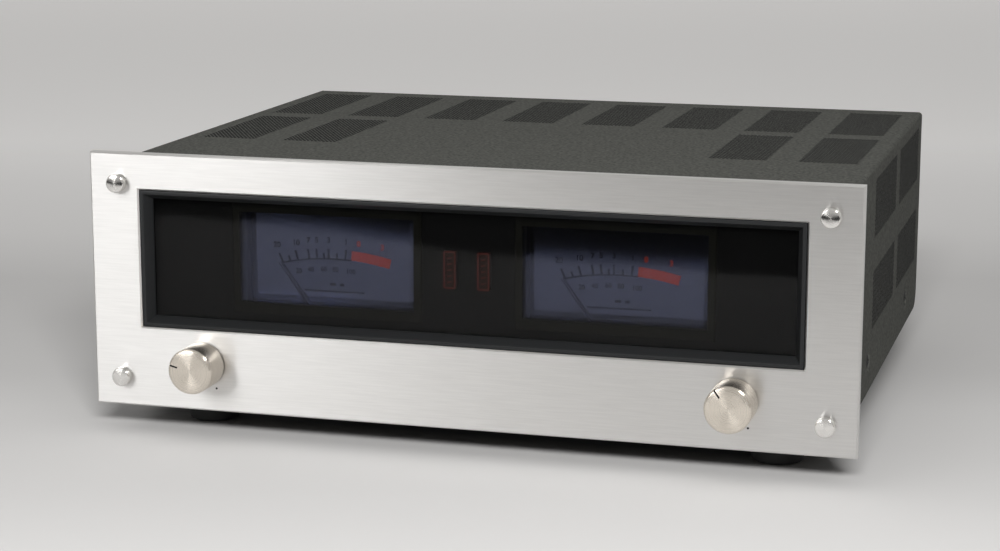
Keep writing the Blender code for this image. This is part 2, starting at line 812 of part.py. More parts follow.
def make_top_cover():
    bm = bmesh.new()
    outline = channel(case_half, case_top, case_bottom, sheet, cover_bend)
    add_plate(bm, [outline], "y", plate_thickness + seat_gap, case_depth)
    piece = finish("top_cover", bm, "dark paint", smooth=True)
    floor = case_half - dish_depth
    bumps = bmesh.new()
    for side in sides:
        profile = [(0, side * (floor - sheet)), (dish_floor_radius + sheet, side * (floor - sheet)),
                   (dish_radius + sheet, side * (case_half - sheet / 2)), (0, side * (case_half - sheet / 2))]
        for y in dish_places:
            add_turned(bumps, profile, (y, dish_z), "x", round_steps)
    weld(piece, "bumps", bumps)

    openings = bmesh.new()
    inside, outside = floor - sheet - overrun, case_half + overrun
    for side in sides:
        profile = [(0, side * inside), (cover_hole_radius, side * inside), (cover_hole_radius, side * floor),
                   (dish_floor_radius, side * floor), (dish_radius, side * case_half),
                   (dish_radius, side * outside), (0, side * outside)]
        for y in dish_places:
            add_turned(openings, profile, (y, dish_z), "x", round_steps)
    rear_end = case_depth - patch_margin
    rear_start = rear_end - rear_patch_length
    front_end = rear_start - patch_gap
    runs = {"rear": (rear_start, rear_end), "front": (front_end - front_patch_length, front_end)}
    low, high = case_top - sheet - overrun, case_top + overrun
    for column in range(patch_columns):
        middle = patch_pitch * (column - (patch_columns - 1) / 2)
        for name in ("rear", "front") if column in front_columns else ("rear",):
            for left, right in slot_rows(middle, patch_width):
                add_box(openings, (left, runs[name][0], low), (right, runs[name][1], high))
    upper = case_top - side_patch_drop - side_patch_height / 2
    for middle in (upper, upper - side_patch_height - side_patch_gap):
        for start, end in runs.values():
            for bottom, top in slot_rows(middle, side_patch_height):
                add_box(openings, (-outside, start, bottom), (outside, end, top))
    corner = (case_depth - rear_corner, case_bottom + rear_corner)
    away = (case_depth + overrun, case_bottom - overrun)
    round_off = [(corner[0], away[1]), away, (away[0], corner[1])]
    round_off += arc(corner, rear_corner, 0, -math.pi / 2, 2 * corner_steps)
    add_plate(openings, [round_off], "x", -outside, outside)
    cut(piece, "openings", openings)


# Feet, each with a pocket for its screw
foot_radius = 0.015
foot_tread_radius = 0.013
foot_chamfer = 0.0015
foot_bore_radius = 0.0025
foot_pocket_radius = 0.006
foot_pocket_depth = 0.01


def make_foot(name, x, y):
    top = case_bottom - seat_gap
    profile = [(foot_bore_radius, top), (foot_radius, top), (foot_tread_radius, foot_chamfer),
               (foot_tread_radius - foot_chamfer, 0), (foot_pocket_radius, 0),
               (foot_pocket_radius, foot_pocket_depth), (foot_bore_radius, foot_pocket_depth)]
    bm = bmesh.new()
    add_turned(bm, profile, (x, y), "z", round_steps)
    finish(name, bm, "black rubber", (x, y, 0), smooth=True)


# Power transformer: laminated core, wound coil and two drawn end bells with holes for their bolts
# Its laminations are six legs wide and five legs high
transformer_share = 0.375
core_leg_share = 0.1427
core_stack = 0.046
core_lift = 0.0036
bolt_inset = 0.005
bolt_radius = 0.002
bolt_clearance = 0.0004
coil_corner = 0.008
coil_overhang = 0.0157
bell_sheet = 0.0012
bell_depth = 0.018
bell_side = 0.0043
bell_fillet = 0.004
bell_corner = 0.009
bell_foot_reach = 0.012
transformer_y = case_depth * transformer_share
core_leg = inside_rise * core_leg_share
core_width = 6 * core_leg
core_height = 5 * core_leg
core_low = deck + core_lift
core_middle = core_low + core_height / 2
core_centre = (0, core_middle)
core_front = transformer_y - core_stack / 2
core_back = transformer_y + core_stack / 2
bolt_places = [(u * (core_width / 2 - bolt_inset), core_middle + v * (core_height / 2 - bolt_inset))
               for u in sides for v in sides]


def make_transformer_core():
    outlines = [centred(core_centre, core_width / 2, core_height / 2)]
    outlines += [centred((side * 1.5 * core_leg, core_middle), core_leg / 2, core_height / 2 - core_leg)
                 for side in sides]
    outlines += [circle(spot, bolt_radius + bolt_clearance, tiny_steps) for spot in bolt_places]
    bm = bmesh.new()
    add_plate(bm, outlines, "y", core_front, core_back)
    finish("transformer_core", bm, "core steel")


def make_transformer_coil():
    inner = centred((0, transformer_y), core_leg + seat_gap, core_stack / 2 + seat_gap)
    outer = rounded((0, transformer_y), 2 * core_leg - seat_gap, core_stack / 2 + coil_overhang, coil_corner)
    top = core_height / 2 - core_leg - seat_gap
    bm = bmesh.new()
    add_plate(bm, [outer, inner], "z", core_middle - top, core_middle + top)
    finish("transformer_coil", bm, "copper")


def make_transformer_bell(name, side):
    flange = [(-core_width / 2, deck), (core_width / 2, deck)]
    flange += [(core_width / 2, core_low + core_height), (-core_width / 2, core_low + core_height)]
    holes = [circle(spot, bolt_radius + bolt_clearance, tiny_steps) for spot in bolt_places]
    cup_x = 2 * core_leg + bell_side
    cup_z = core_height / 2 - core_leg + bell_side
    face = transformer_y + side * (core_stack / 2 + seat_gap)
    back = face + side * bell_sheet
    plate, cup, hollow = bmesh.new(), bmesh.new(), bmesh.new()
    add_plate(plate, [flange] + holes, "y", face, back)
    shells = ((cup, 0, face + side * bell_sheet / 2), (hollow, bell_sheet, face - side * overrun))
    for bm, wall, start in shells:
        wide = rounded(core_centre, cup_x - wall, cup_z - wall, bell_corner - wall)
        inset = wall + bell_fillet
        small = rounded(core_centre, cup_x - inset, cup_z - inset, bell_corner - bell_fillet)
        end = face + side * (bell_depth - wall)
        add_stack(bm, [(start, [wide]), (end - side * bell_fillet, [wide]), (end, [small])], "y")
    near, far = sorted((face + side * bell_sheet / 2, back + side * bell_foot_reach))
    foot_half = core_width / 2 - bolt_inset
    add_box(cup, (-foot_half, near, deck), (foot_half, far, deck + bell_sheet))
    piece = finish(name, plate, "dark paint", smooth=True)
    weld(piece, "cup", cup)
    cut(piece, "hollow", hollow)


# Supply: filter capacitors in one double clamp
capacitor_share = 0.650
capacitor_radius = 0.025
capacitor_height_share = 0.785
capacitor_spacing = 0.060
capacitor_roll = 0.0015
terminal_radius = 0.004
terminal_height = 0.006
terminal_spacing = 0.016
clamp_sheet = 0.0012
clamp_rise = 0.006
clamp_height = 0.012
clamp_strap = 0.010
clamp_foot = 0.009
capacitor_y = case_depth * capacitor_share
capacitor_height = inside_rise * capacitor_height_share
capacitor_x = capacitor_spacing / 2


def make_filter_capacitor(name, x):
    top = deck + capacitor_height
    rim = capacitor_radius - capacitor_roll
    profile = [(0, deck), (rim, deck), (capacitor_radius, deck + capacitor_roll),
               (capacitor_radius, top - capacitor_roll), (rim, top), (rim - capacitor_roll, top),
               (rim - capacitor_roll, top - capacitor_roll), (0, top - capacitor_roll)]
    bm = bmesh.new()
    add_turned(bm, profile, (x, capacitor_y), "z", round_steps)
    piece = finish(name, bm, "blue sleeve", (x, capacitor_y, 0), smooth=True)
    posts = bmesh.new()
    for side in sides:
        spot = (x + side * terminal_spacing / 2, capacitor_y)
        add_rod(posts, terminal_radius, spot, "z", top - 2 * capacitor_roll, top + terminal_height, tiny_steps)
    weld(piece, "terminals", posts)


def make_capacitor_clamp():
    low = deck + clamp_rise
    high = low + clamp_height
    inner = capacitor_radius + seat_gap
    outer = inner + clamp_sheet
    profile = [(inner, low), (outer, low), (outer, high), (inner, high)]
    left, right, straps = bmesh.new(), bmesh.new(), bmesh.new()
    add_turned(left, profile, (-capacitor_x, capacitor_y), "z", round_steps)
    add_turned(right, profile, (capacitor_x, capacitor_y), "z", round_steps)
    bridge = capacitor_x - outer + clamp_sheet / 2
    add_box(straps, (-bridge, capacitor_y - clamp_strap / 2, low + clamp_sheet),
            (bridge, capacitor_y + clamp_strap / 2, high - clamp_sheet))
    for side in sides:
        x = side * capacitor_x
        for turn in sides:
            near, far, toe = (capacitor_y + turn * reach for reach in
                              (outer - clamp_sheet / 2, outer + clamp_sheet / 2, outer + clamp_foot))
            outline = [(near, high - clamp_sheet), (far, high - clamp_sheet), (far, deck + clamp_sheet),
                       (toe, deck + clamp_sheet), (toe, deck), (near, deck)]
            add_plate(straps, [outline], "x", x - clamp_strap / 2, x + clamp_strap / 2)
    piece = finish("capacitor_clamp", left, "zinc steel", smooth=True)
    weld(piece, "second_band", right)
    weld(piece, "straps", straps)


# Output stage: extruded heat sinks with two inner legs, power modules, and boards with their soldered parts
sink_margin = 0.0496
sink_base = 0.005
fin_length = 0.030
fin_thickness = 0.0022
fin_count = 14
sink_headroom = 0.014
sink_shares = (0.317, 0.832)
leg_thickness = 0.004
leg_inset = 0.012
module_share = 0.5
module_rise_share = 0.54
module_length = 0.078
module_height = 0.044
module_base = 0.003
module_body = 0.008
module_step = 0.005
module_corner = 0.003
pin_count = 8
pin_pitch = 0.008
pin_width = 0.0014
pin_clearance = 0.0025
board_standoff = 0.0234
board_thickness = 0.0016
board_inset = 0.010
board_end = 0.002
resistor_radius = 0.0022
resistor_length = 0.014
electrolytic_radius = 0.0055
electrolytic_height = 0.016
trimmer_half = 0.004
trimmer_height = 0.006
resistor_shares = ((0.25, 0.25), (0.25, 0.60), (0.70, 0.25), (0.70, 0.80))
electrolytic_shares = ((0.45, 0.45), (0.45, 0.80))
trimmer_shares = ((0.85, 0.50), (0.12, 0.80))
sink_face = case_half - sink_margin
sink_top = case_top - sink_headroom
sink_start, sink_end = (case_depth * share for share in sink_shares)
board_outer = sink_face - board_standoff
board_inner = board_outer - board_thickness
board_low = deck + board_inset
board_high = sink_top - board_inset / 2
board_start, board_stop = sink_start + board_inset, sink_end - board_end


def make_heat_sink(name, side):
    # Comb outline with two legs on the inner side that carry the board, extruded upwards
    root, tip = sink_face + sink_base, sink_face + sink_base + fin_length
    leg_end = board_outer + seat_gap
    first_leg, last_leg = board_start + leg_inset, board_stop - leg_inset
    pitch = (sink_end - sink_start - fin_thickness) / (fin_count - 1)
    outline = [(sink_face, sink_end)]
    for near, far in ((last_leg, last_leg - leg_thickness), (first_leg + leg_thickness, first_leg)):
        outline += [(sink_face, near), (leg_end, near), (leg_end, far), (sink_face, far)]
    outline += [(sink_face, sink_start)]
    for i in range(fin_count):
        near = sink_start + pitch * i
        far = near + fin_thickness
        outline += [(root, near)] if i else []
        outline += [(tip, near), (tip, far)]
        outline += [(root, far)] if i < fin_count - 1 else []
    bm = bmesh.new()
    add_plate(bm, [[(side * x, y) for x, y in outline]], "z", deck, sink_top)
    finish(name, bm, "cast aluminium")


def make_output_module(name, side):
    # Power module: a metal base on the heat sink, a moulded body, and a row of pins that reach to the board
    spot = (sink_start + (sink_end - sink_start) * module_share, deck + (sink_top - deck) * module_rise_share)
    seat = sink_face - seat_gap
    step = seat - module_base
    face = step - module_body
    base = [rounded(spot, module_length / 2, module_height / 2, module_corner)]
    body = [rounded(spot, module_length / 2 - module_step, module_height / 2 - module_corner, module_corner)]
    bm = bmesh.new()
    levels = [(seat, base), (step, base), (step, body), (face, body)]
    add_stack(bm, [(side * along, outlines) for along, outlines in levels], "x")
    piece = finish(name, bm, "nickel", smooth=True)
    pins = bmesh.new()
    pin_end = board_outer + pin_clearance
    for i in range(pin_count):
        y = spot[0] + pin_pitch * (i - (pin_count - 1) / 2)
        near, far = sorted((side * pin_end, side * (face + module_base)))
        low = spot[1] - pin_width / 2
        add_box(pins, (near, y - pin_width / 2, low), (far, y + pin_width / 2, low + pin_width))
    weld(piece, "pins", pins)


def make_driver_board(name, side):
    bm, parts = bmesh.new(), bmesh.new()
    outline = rectangle((board_start, board_low), (board_stop, board_high))
    add_plate(bm, [outline], "x", side * board_inner, side * board_outer)
    piece = finish(name, bm, "brown board", smooth=True)
    length, rise = board_stop - board_start, board_high - board_low
    root = board_inner + board_thickness / 2
    for along_share, rise_share in resistor_shares:
        y, z = board_start + length * along_share, board_low + rise * rise_share
        spot = (side * (board_inner - resistor_radius / 2), z)
        add_rod(parts, resistor_radius, spot, "y", y, y + resistor_length, tiny_steps)
    for along_share, rise_share in electrolytic_shares:
        spot = (board_start + length * along_share, board_low + rise * rise_share)
        add_rod(parts, electrolytic_radius, spot, "x", side * (board_inner - electrolytic_height), side * root,
                tiny_steps)
    for along_share, rise_share in trimmer_shares:
        spot = (board_start + length * along_share, board_low + rise * rise_share)
        outline = centred(spot, trimmer_half, trimmer_half)
        add_plate(parts, [outline], "x", side * (board_inner - trimmer_height), side * root)
    weld(piece, "parts", parts)


rectifier_half = 0.011
rectifier_height = 0.012
rectifier_gap = 0.002
supply_electrolytic_shares = ((0.14, 0.60), (0.86, 0.60))
supply_resistor_shares = ((0.50, 0.25), (0.50, 0.10))


def make_supply_board():
    bm, parts = bmesh.new(), bmesh.new()
    top = supply_board_low + board_thickness
    add_plate(bm, [centred((0, supply_board_y), *supply_board_half)], "z", supply_board_low, top)
    piece = finish("supply_board", bm, "brown board", smooth=True)
    root = top - board_thickness / 2
    width, depth = supply_board_half
    rectifier_y = supply_board_y + depth - rectifier_half - rectifier_gap
    rectifier = centred((0, rectifier_y), rectifier_half, rectifier_half)
    add_plate(parts, [rectifier], "z", root, top + rectifier_height)
    for across_share, depth_share in supply_electrolytic_shares:
        spot = (width * (2 * across_share - 1), supply_board_y + depth * (2 * depth_share - 1))
        add_rod(parts, electrolytic_radius, spot, "z", root, top + electrolytic_height, tiny_steps)
    for across_share, depth_share in supply_resistor_shares:
        x, y = width * (2 * across_share - 1), supply_board_y + depth * (2 * depth_share - 1)
        add_rod(parts, resistor_radius, (y, top + resistor_radius / 2), "x", x - resistor_length / 2,
                x + resistor_length / 2, tiny_steps)
    weld(piece, "parts", parts)


# Rear fittings: input jacks
outer_face = panel_back + seat_gap
jack_flange_radius = 0.0068
jack_flange = 0.002
jack_barrel_radius = 0.0041
jack_barrel = 0.0074
jack_stem = 0.013
jack_bore_radius = 0.0016
jack_bore = 0.007


def make_input_jack(name, spot):
    flange_end = outer_face + jack_flange
    end = flange_end + jack_barrel
    inner_end = panel_back - jack_stem
    profile = [(0, inner_end), (jack_stem_radius, inner_end), (jack_stem_radius, outer_face),
               (jack_flange_radius, outer_face), (jack_flange_radius, flange_end),
               (jack_barrel_radius, flange_end),
               (jack_barrel_radius, end), (jack_bore_radius, end), (jack_bore_radius, end - jack_bore),
               (0, end - jack_bore)]
    bm = bmesh.new()
    add_turned(bm, profile, spot, "y", small_steps)
    finish(name, bm, "nickel", (spot[0], 0, spot[1]), smooth=True)


# Speaker terminals: moulded housing with four bays, a wire hole under each, and sprung push levers
housing_half = (0.046, 0.017)
housing_depth = 0.0107
housing_chamfer = 0.001
housing_inside = 0.0103
bay_count = 4
bay_pitch = 0.0205
bay_width = 0.014
bay_half_height = 0.010
bay_front = 0.0073
bay_wall = 0.0025
bay_sill_drop = 0.0015
wire_hole_radius = 0.0018
wire_hole_drop = 0.005
lever_pin_radius = 0.0009
lever_pin_bite = 0.0005
lever_rise = 0.005
lever_inset = 0.0083
lever_barrel_radius = 0.0026
lever_bore_radius = 0.0012
lever_side_gap = 0.0006
lever_tab = 0.0024
lever_arm = 0.0115
lever_arm_lean = 0.0052
lever_arm_thickness = 0.0018
housing_back = outer_face + housing_depth
lever_y = housing_back - lever_inset + seat_gap
lever_z = terminal_place[1] + lever_rise
bay_places = [terminal_place[0] + bay_pitch * (i - (bay_count - 1) / 2) for i in range(bay_count)]


def make_speaker_terminal_housing():
    z = terminal_place[1]
    body = [centred(terminal_place, *terminal_body_half)]
    flange = [centred(terminal_place, *housing_half)]
    face = [centred(terminal_place, *(half - housing_chamfer for half in housing_half))]
    front = outer_face - housing_inside
    levels = [(front, body), (outer_face, body), (outer_face, flange), (housing_back - housing_chamfer, flange),
              (housing_back, face)]
    bm = bmesh.new()
    add_stack(bm, levels, "y")
    piece = finish("speaker_terminal_housing", bm, "black plastic")
    wall = housing_back - bay_wall
    start = lever_y - bay_front - lever_barrel_radius
    sill, top, low = z - bay_sill_drop, z + bay_half_height, z - bay_half_height
    outline = [(start, low), (wall, low), (wall, sill), (housing_back + overrun, sill),
               (housing_back + overrun, top), (start, top)]
    bays, holes, pins = bmesh.new(), bmesh.new(), bmesh.new()
    for middle in bay_places:
        add_plate(bays, [outline], "x", middle - bay_width / 2, middle + bay_width / 2)
        add_rod(holes, wire_hole_radius, (middle, z - wire_hole_drop), "y", wall - overrun / 2,
                housing_back + overrun, tiny_steps)
        reach = bay_width / 2 + lever_pin_bite
        add_rod(pins, lever_pin_radius, (lever_y, lever_z), "x", middle - reach, middle + reach, tiny_steps)
    cut(piece, "bays", bays)
    cut(piece, "wire_holes", holes)
    weld(piece, "pins", pins)


def make_lever(name, x):
    # Thumb tab, round barrel on its pin, and an arm that leans to the wire hole, all in one outline
    tab_half, arm_half = lever_tab / 2, lever_arm_thickness / 2
    tab_angle = math.asin(tab_half / lever_barrel_radius)
    arm_angle = math.asin(arm_half / lever_barrel_radius)
    down = math.pi * 3 / 2
    tab_end = case_depth + lever_reach
    arm_low = lever_z - lever_arm
    arm_near = lever_y + lever_arm_lean
    outline = [(tab_end, lever_z + tab_half)]
    outline += arc((lever_y, lever_z), lever_barrel_radius, tab_angle, down - arm_angle, small_steps)
    outline += [(arm_near - lever_arm_thickness, arm_low), (arm_near, arm_low)]
    outline += arc((lever_y, lever_z), lever_barrel_radius, down + arm_angle, 2 * math.pi - tab_angle,
                   corner_steps)
    outline += [(tab_end, lever_z - tab_half)]
    half = bay_width / 2 - lever_side_gap
    bm = bmesh.new()
    bore = circle((lever_y, lever_z), lever_bore_radius, tiny_steps)
    add_plate(bm, [outline, bore], "x", x - half, x + half)
    finish(name, bm, "red plastic" if name.endswith("plus") else "black plastic", (x, lever_y, lever_z))


# Accessory outlets moulded in one plate, fuse holder with its cap, and the gland for the mains cord
outlet_flange_half = (0.018, 0.029)
outlet_spacing = 0.030
outlet_flange = 0.003
outlet_inside = 0.015
blade_width = 0.0018
blade_height = 0.0075
blade_spacing = 0.0127
blade_depth = 0.012
fuse_flange_radius = 0.0085
fuse_flange = 0.002
fuse_body_radius = 0.006
fuse_body = 0.025
fuse_groove_radius = 0.0052
fuse_groove = 0.0008
fuse_cap_radius = 0.0066
fuse_cap_length = 0.0114
fuse_cap_chamfer = 0.001
gland_bore_radius = 0.0038
gland_flange_radius = 0.0076
gland_inner_flange = 0.002
gland_outer_flange = 0.0045
gland_taper = 0.001


def make_ac_outlets():
    bm, blades = bmesh.new(), bmesh.new()
    front = outer_face - outlet_inside
    end = outer_face + outlet_flange
    body = [centred(outlet_place, *outlet_body_half)]
    flange = [centred(outlet_place, *outlet_flange_half)]
    add_stack(bm, [(front, body), (outer_face, body), (outer_face, flange), (end, flange)], "y")
    for rise in sides:
        for side in sides:
            spot = (outlet_place[0] + side * blade_spacing / 2, outlet_place[1] + rise * outlet_spacing / 2)
            slot = centred(spot, blade_width / 2, blade_height / 2)
            add_plate(blades, [slot], "y", end - blade_depth, end + overrun)
    piece = finish("ac_outlets", bm, "black plastic")
    cut(piece, "blade_slots", blades)


def make_fuse_holder():
    flange_end = outer_face + fuse_flange
    groove_end = flange_end + fuse_groove
    end = groove_end + fuse_cap_length
    front = outer_face - fuse_body
    profile = [(0, front), (fuse_body_radius, front), (fuse_body_radius, outer_face),
               (fuse_flange_radius, outer_face), (fuse_flange_radius, flange_end),
               (fuse_groove_radius, flange_end), (fuse_groove_radius, groove_end),
               (fuse_cap_radius, groove_end), (fuse_cap_radius, end - fuse_cap_chamfer),
               (fuse_cap_radius - fuse_cap_chamfer, end), (0, end)]
    bm = bmesh.new()
    add_turned(bm, profile, fuse_place, "y", small_steps)
    finish("fuse_holder", bm, "black plastic", smooth=True)


def make_cord_gland():
    front = panel_front - seat_gap
    neck = gland_hole_radius - seat_gap
    end = outer_face + gland_outer_flange
    inner_end = front - gland_inner_flange
    profile = [(gland_bore_radius, inner_end), (gland_flange_radius, inner_end), (gland_flange_radius, front),
               (neck, front), (neck, outer_face), (gland_flange_radius, outer_face),
               (gland_flange_radius - gland_taper, end), (gland_bore_radius, end)]
    bm = bmesh.new()
    add_turned(bm, profile, gland_place, "y", small_steps)
    finish("cord_gland", bm, "black rubber", smooth=True)


# The whole amplifier, from the front to the back
make_faceplate()
make_window_bezel()
make_smoked_window()
make_sub_chassis()
for height, z in zip(("bottom", "top"), screw_rows):
    make_faceplate_screw("faceplate_screw_" + height + "_left", -screw_x, z)
    make_faceplate_screw("faceplate_screw_" + height + "_right", screw_x, z)
for hand, side, pointer in (("left", -1, left_pointer), ("right", 1, right_pointer)):
    make_meter_surround("meter_surround_" + hand, side * meter_x)
    make_meter_cover("meter_cover_" + hand, side * meter_x)
    make_meter_case("meter_case_" + hand, side * meter_x)
    make_meter_dial("meter_dial_" + hand, side * meter_x)
    make_meter_movement("meter_movement_" + hand, side * meter_x)
    make_meter_needle("meter_needle_" + hand, side * meter_x)
    make_gain_knob("gain_knob_" + hand, side * knob_x, pointer)
    make_gain_shaft("gain_shaft_" + hand, side * knob_x)
    make_gain_pot("gain_pot_" + hand, side * knob_x)
    make_filter_capacitor("filter_capacitor_" + hand, side * capacitor_x)
    make_heat_sink("heat_sink_" + hand, side)
    make_output_module("output_module_" + hand, side)
    make_driver_board("driver_board_" + hand, side)
    make_foot("foot_front_" + hand, side * foot_x, foot_places[0])
    make_foot("foot_rear_" + hand, side * foot_x, foot_places[1])
make_indicator_lens()
make_indicator_light_box()
make_indicator_lamps()
make_chassis_pan()
make_rear_panel()
make_top_cover()
make_transformer_core()
make_transformer_coil()
make_transformer_bell("transformer_bell_front", -1)
make_transformer_bell("transformer_bell_rear", 1)
make_capacitor_clamp()
make_supply_board()
make_input_jack("input_jack_upper", jack_places[0])
make_input_jack("input_jack_lower", jack_places[1])
make_speaker_terminal_housing()
lever_names = ("lever_left_plus", "lever_left_minus", "lever_right_plus", "lever_right_minus")
for lever_name, lever_x in zip(lever_names, bay_places):
    make_lever(lever_name, lever_x)
make_ac_outlets()
make_fuse_holder()
make_cord_gland()
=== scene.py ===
# Stereo power amplifier: finishes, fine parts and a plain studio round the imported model.
# Metres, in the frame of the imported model: X right seen from the front, Y to the back, Z up.
import json
import math

import bmesh
import bpy
import numpy as np
from mathutils import Matrix, Vector
from mathutils.geometry import delaunay_2d_cdt


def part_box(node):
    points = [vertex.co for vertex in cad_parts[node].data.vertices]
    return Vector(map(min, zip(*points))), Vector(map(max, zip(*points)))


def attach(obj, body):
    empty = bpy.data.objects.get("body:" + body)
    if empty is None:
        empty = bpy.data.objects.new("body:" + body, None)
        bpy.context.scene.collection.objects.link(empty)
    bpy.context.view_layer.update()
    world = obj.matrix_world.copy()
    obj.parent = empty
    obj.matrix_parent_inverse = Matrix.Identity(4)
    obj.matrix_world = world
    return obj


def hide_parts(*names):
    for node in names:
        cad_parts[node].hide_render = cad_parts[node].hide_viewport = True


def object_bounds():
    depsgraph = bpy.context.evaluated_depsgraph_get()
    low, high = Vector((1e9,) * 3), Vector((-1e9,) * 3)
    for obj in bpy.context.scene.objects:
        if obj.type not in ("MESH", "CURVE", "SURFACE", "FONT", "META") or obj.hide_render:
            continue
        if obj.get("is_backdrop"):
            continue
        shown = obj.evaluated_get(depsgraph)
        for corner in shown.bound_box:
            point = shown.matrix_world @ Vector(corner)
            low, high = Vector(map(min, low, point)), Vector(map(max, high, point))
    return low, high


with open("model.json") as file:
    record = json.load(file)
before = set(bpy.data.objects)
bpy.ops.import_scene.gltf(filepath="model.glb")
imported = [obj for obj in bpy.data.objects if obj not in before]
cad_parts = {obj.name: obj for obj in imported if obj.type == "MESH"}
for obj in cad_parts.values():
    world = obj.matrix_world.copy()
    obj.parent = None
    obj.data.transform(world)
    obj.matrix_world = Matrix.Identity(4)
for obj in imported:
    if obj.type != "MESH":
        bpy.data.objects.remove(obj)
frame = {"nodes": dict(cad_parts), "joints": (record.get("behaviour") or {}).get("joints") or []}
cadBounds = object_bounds()
nodes = frame["nodes"]
jointOf = {joint["child"]: joint for joint in frame["joints"]}
plateLow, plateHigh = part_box("faceplate")
plateFront = plateLow.y
plateMiddleZ = (plateLow.z + plateHigh.z) / 2
print("frame loaded:", len(nodes), "nodes")


# The camera of the photograph, fitted to the faceplate, the cover's edges and its perforated patches
camera = {"azimuth": 16.934, "elevation": 12.036, "distance": 1.158465, "roll": -0.166, "yaw": -0.965,
          "pitch": -0.595, "lens": 85.52, "sensor": 36.0}


def direction(azimuth, elevation):
    # Unit vector away from the faceplate, from degrees to the right of straight ahead and degrees up
    turn, rise = math.radians(azimuth), math.radians(elevation)
    return Vector((math.sin(turn) * math.cos(rise), -math.cos(turn) * math.cos(rise), math.sin(rise)))


def makeCamera():
    # It looks at the middle of the faceplate's front, with small turns about its own axes
    back = direction(camera["azimuth"], camera["elevation"])
    right = (-back).cross(Vector((0, 0, 1))).normalized()
    down = -right.cross(-back)
    roll, pitch, yaw = (Matrix.Rotation(math.radians(camera[name]), 3, axis)
                        for name, axis in (("roll", "Z"), ("pitch", "X"), ("yaw", "Y")))
    rows = roll @ pitch @ yaw @ Matrix((right, down, -back))
    axes = Matrix((rows[0], -rows[1], -rows[2])).transposed()
    data = bpy.data.cameras.new("studioCamera")
    data.lens, data.sensor_width = camera["lens"], camera["sensor"]
    seen = bpy.data.objects.new("studioCamera", data)
    place = Vector((0, plateFront, plateMiddleZ)) + back * camera["distance"]
    seen.matrix_world = Matrix.Translation(place) @ axes.to_4x4()
    bpy.context.scene.collection.objects.link(seen)
    bpy.context.scene.camera = seen


makeCamera()
print("camera placed")


# Materials: nodes on Object coordinates, constants on the shader's own sockets
grain = {"detail": 3.0, "rampEnds": (0.25, 0.75), "roughShare": 0.12}


def node(tree, kind, inputs=None, **settings):
    made = tree.nodes.new("ShaderNode" + kind)
    for key, value in settings.items():
        setattr(made, key, value)
    for socket, value in (inputs or {}).items():
        if isinstance(value, bpy.types.NodeSocket):
            tree.links.new(value, made.inputs[socket])
        else:
            made.inputs[socket].default_value = value
    return made


def plainMaterial(name, colour, roughness, metallic=0.0, extra=None):
    made = bpy.data.materials.new(name)
    made.use_nodes = True
    shader = made.node_tree.nodes["Principled BSDF"]
    values = {"Base Color": (*colour, 1), "Roughness": roughness, "Metallic": metallic, **(extra or {})}
    for socket, value in values.items():
        shader.inputs[socket].default_value = value
    return made, made.node_tree, shader


def placedNoise(tree, scale, detail):
    # Noise stretched by scale (turns per metre along each axis)
    coordinates = node(tree, "TexCoord")
    mapping = node(tree, "Mapping", {"Vector": coordinates.outputs["Object"], "Scale": scale})
    return node(tree, "TexNoise", {"Vector": mapping.outputs["Vector"], "Scale": 1.0, "Detail": detail})


def vary(tree, shader, noise, look, roughSpread):
    # The noise drives a colour ramp, the roughness and a bump
    ramp = node(tree, "ValToRGB", {"Fac": noise.outputs["Fac"]})
    for stop, position, side in zip(ramp.color_ramp.elements, grain["rampEnds"], (-1, 1)):
        stop.position = position
        stop.color = (*[min(1, c * (1 + side * look["spread"])) for c in look["colour"]], 1)
    tree.links.new(ramp.outputs["Color"], shader.inputs["Base Color"])
    span = node(tree, "MapRange", {"Value": noise.outputs["Fac"], "To Min": look["roughness"] - roughSpread,
                                   "To Max": look["roughness"] + roughSpread})
    tree.links.new(span.outputs["Result"], shader.inputs["Roughness"])
    if look["bump"]:
        relief = node(tree, "Bump", {"Height": noise.outputs["Fac"], "Strength": look["bump"],
                                     "Distance": look["depth"]})
        tree.links.new(relief.outputs["Normal"], shader.inputs["Normal"])


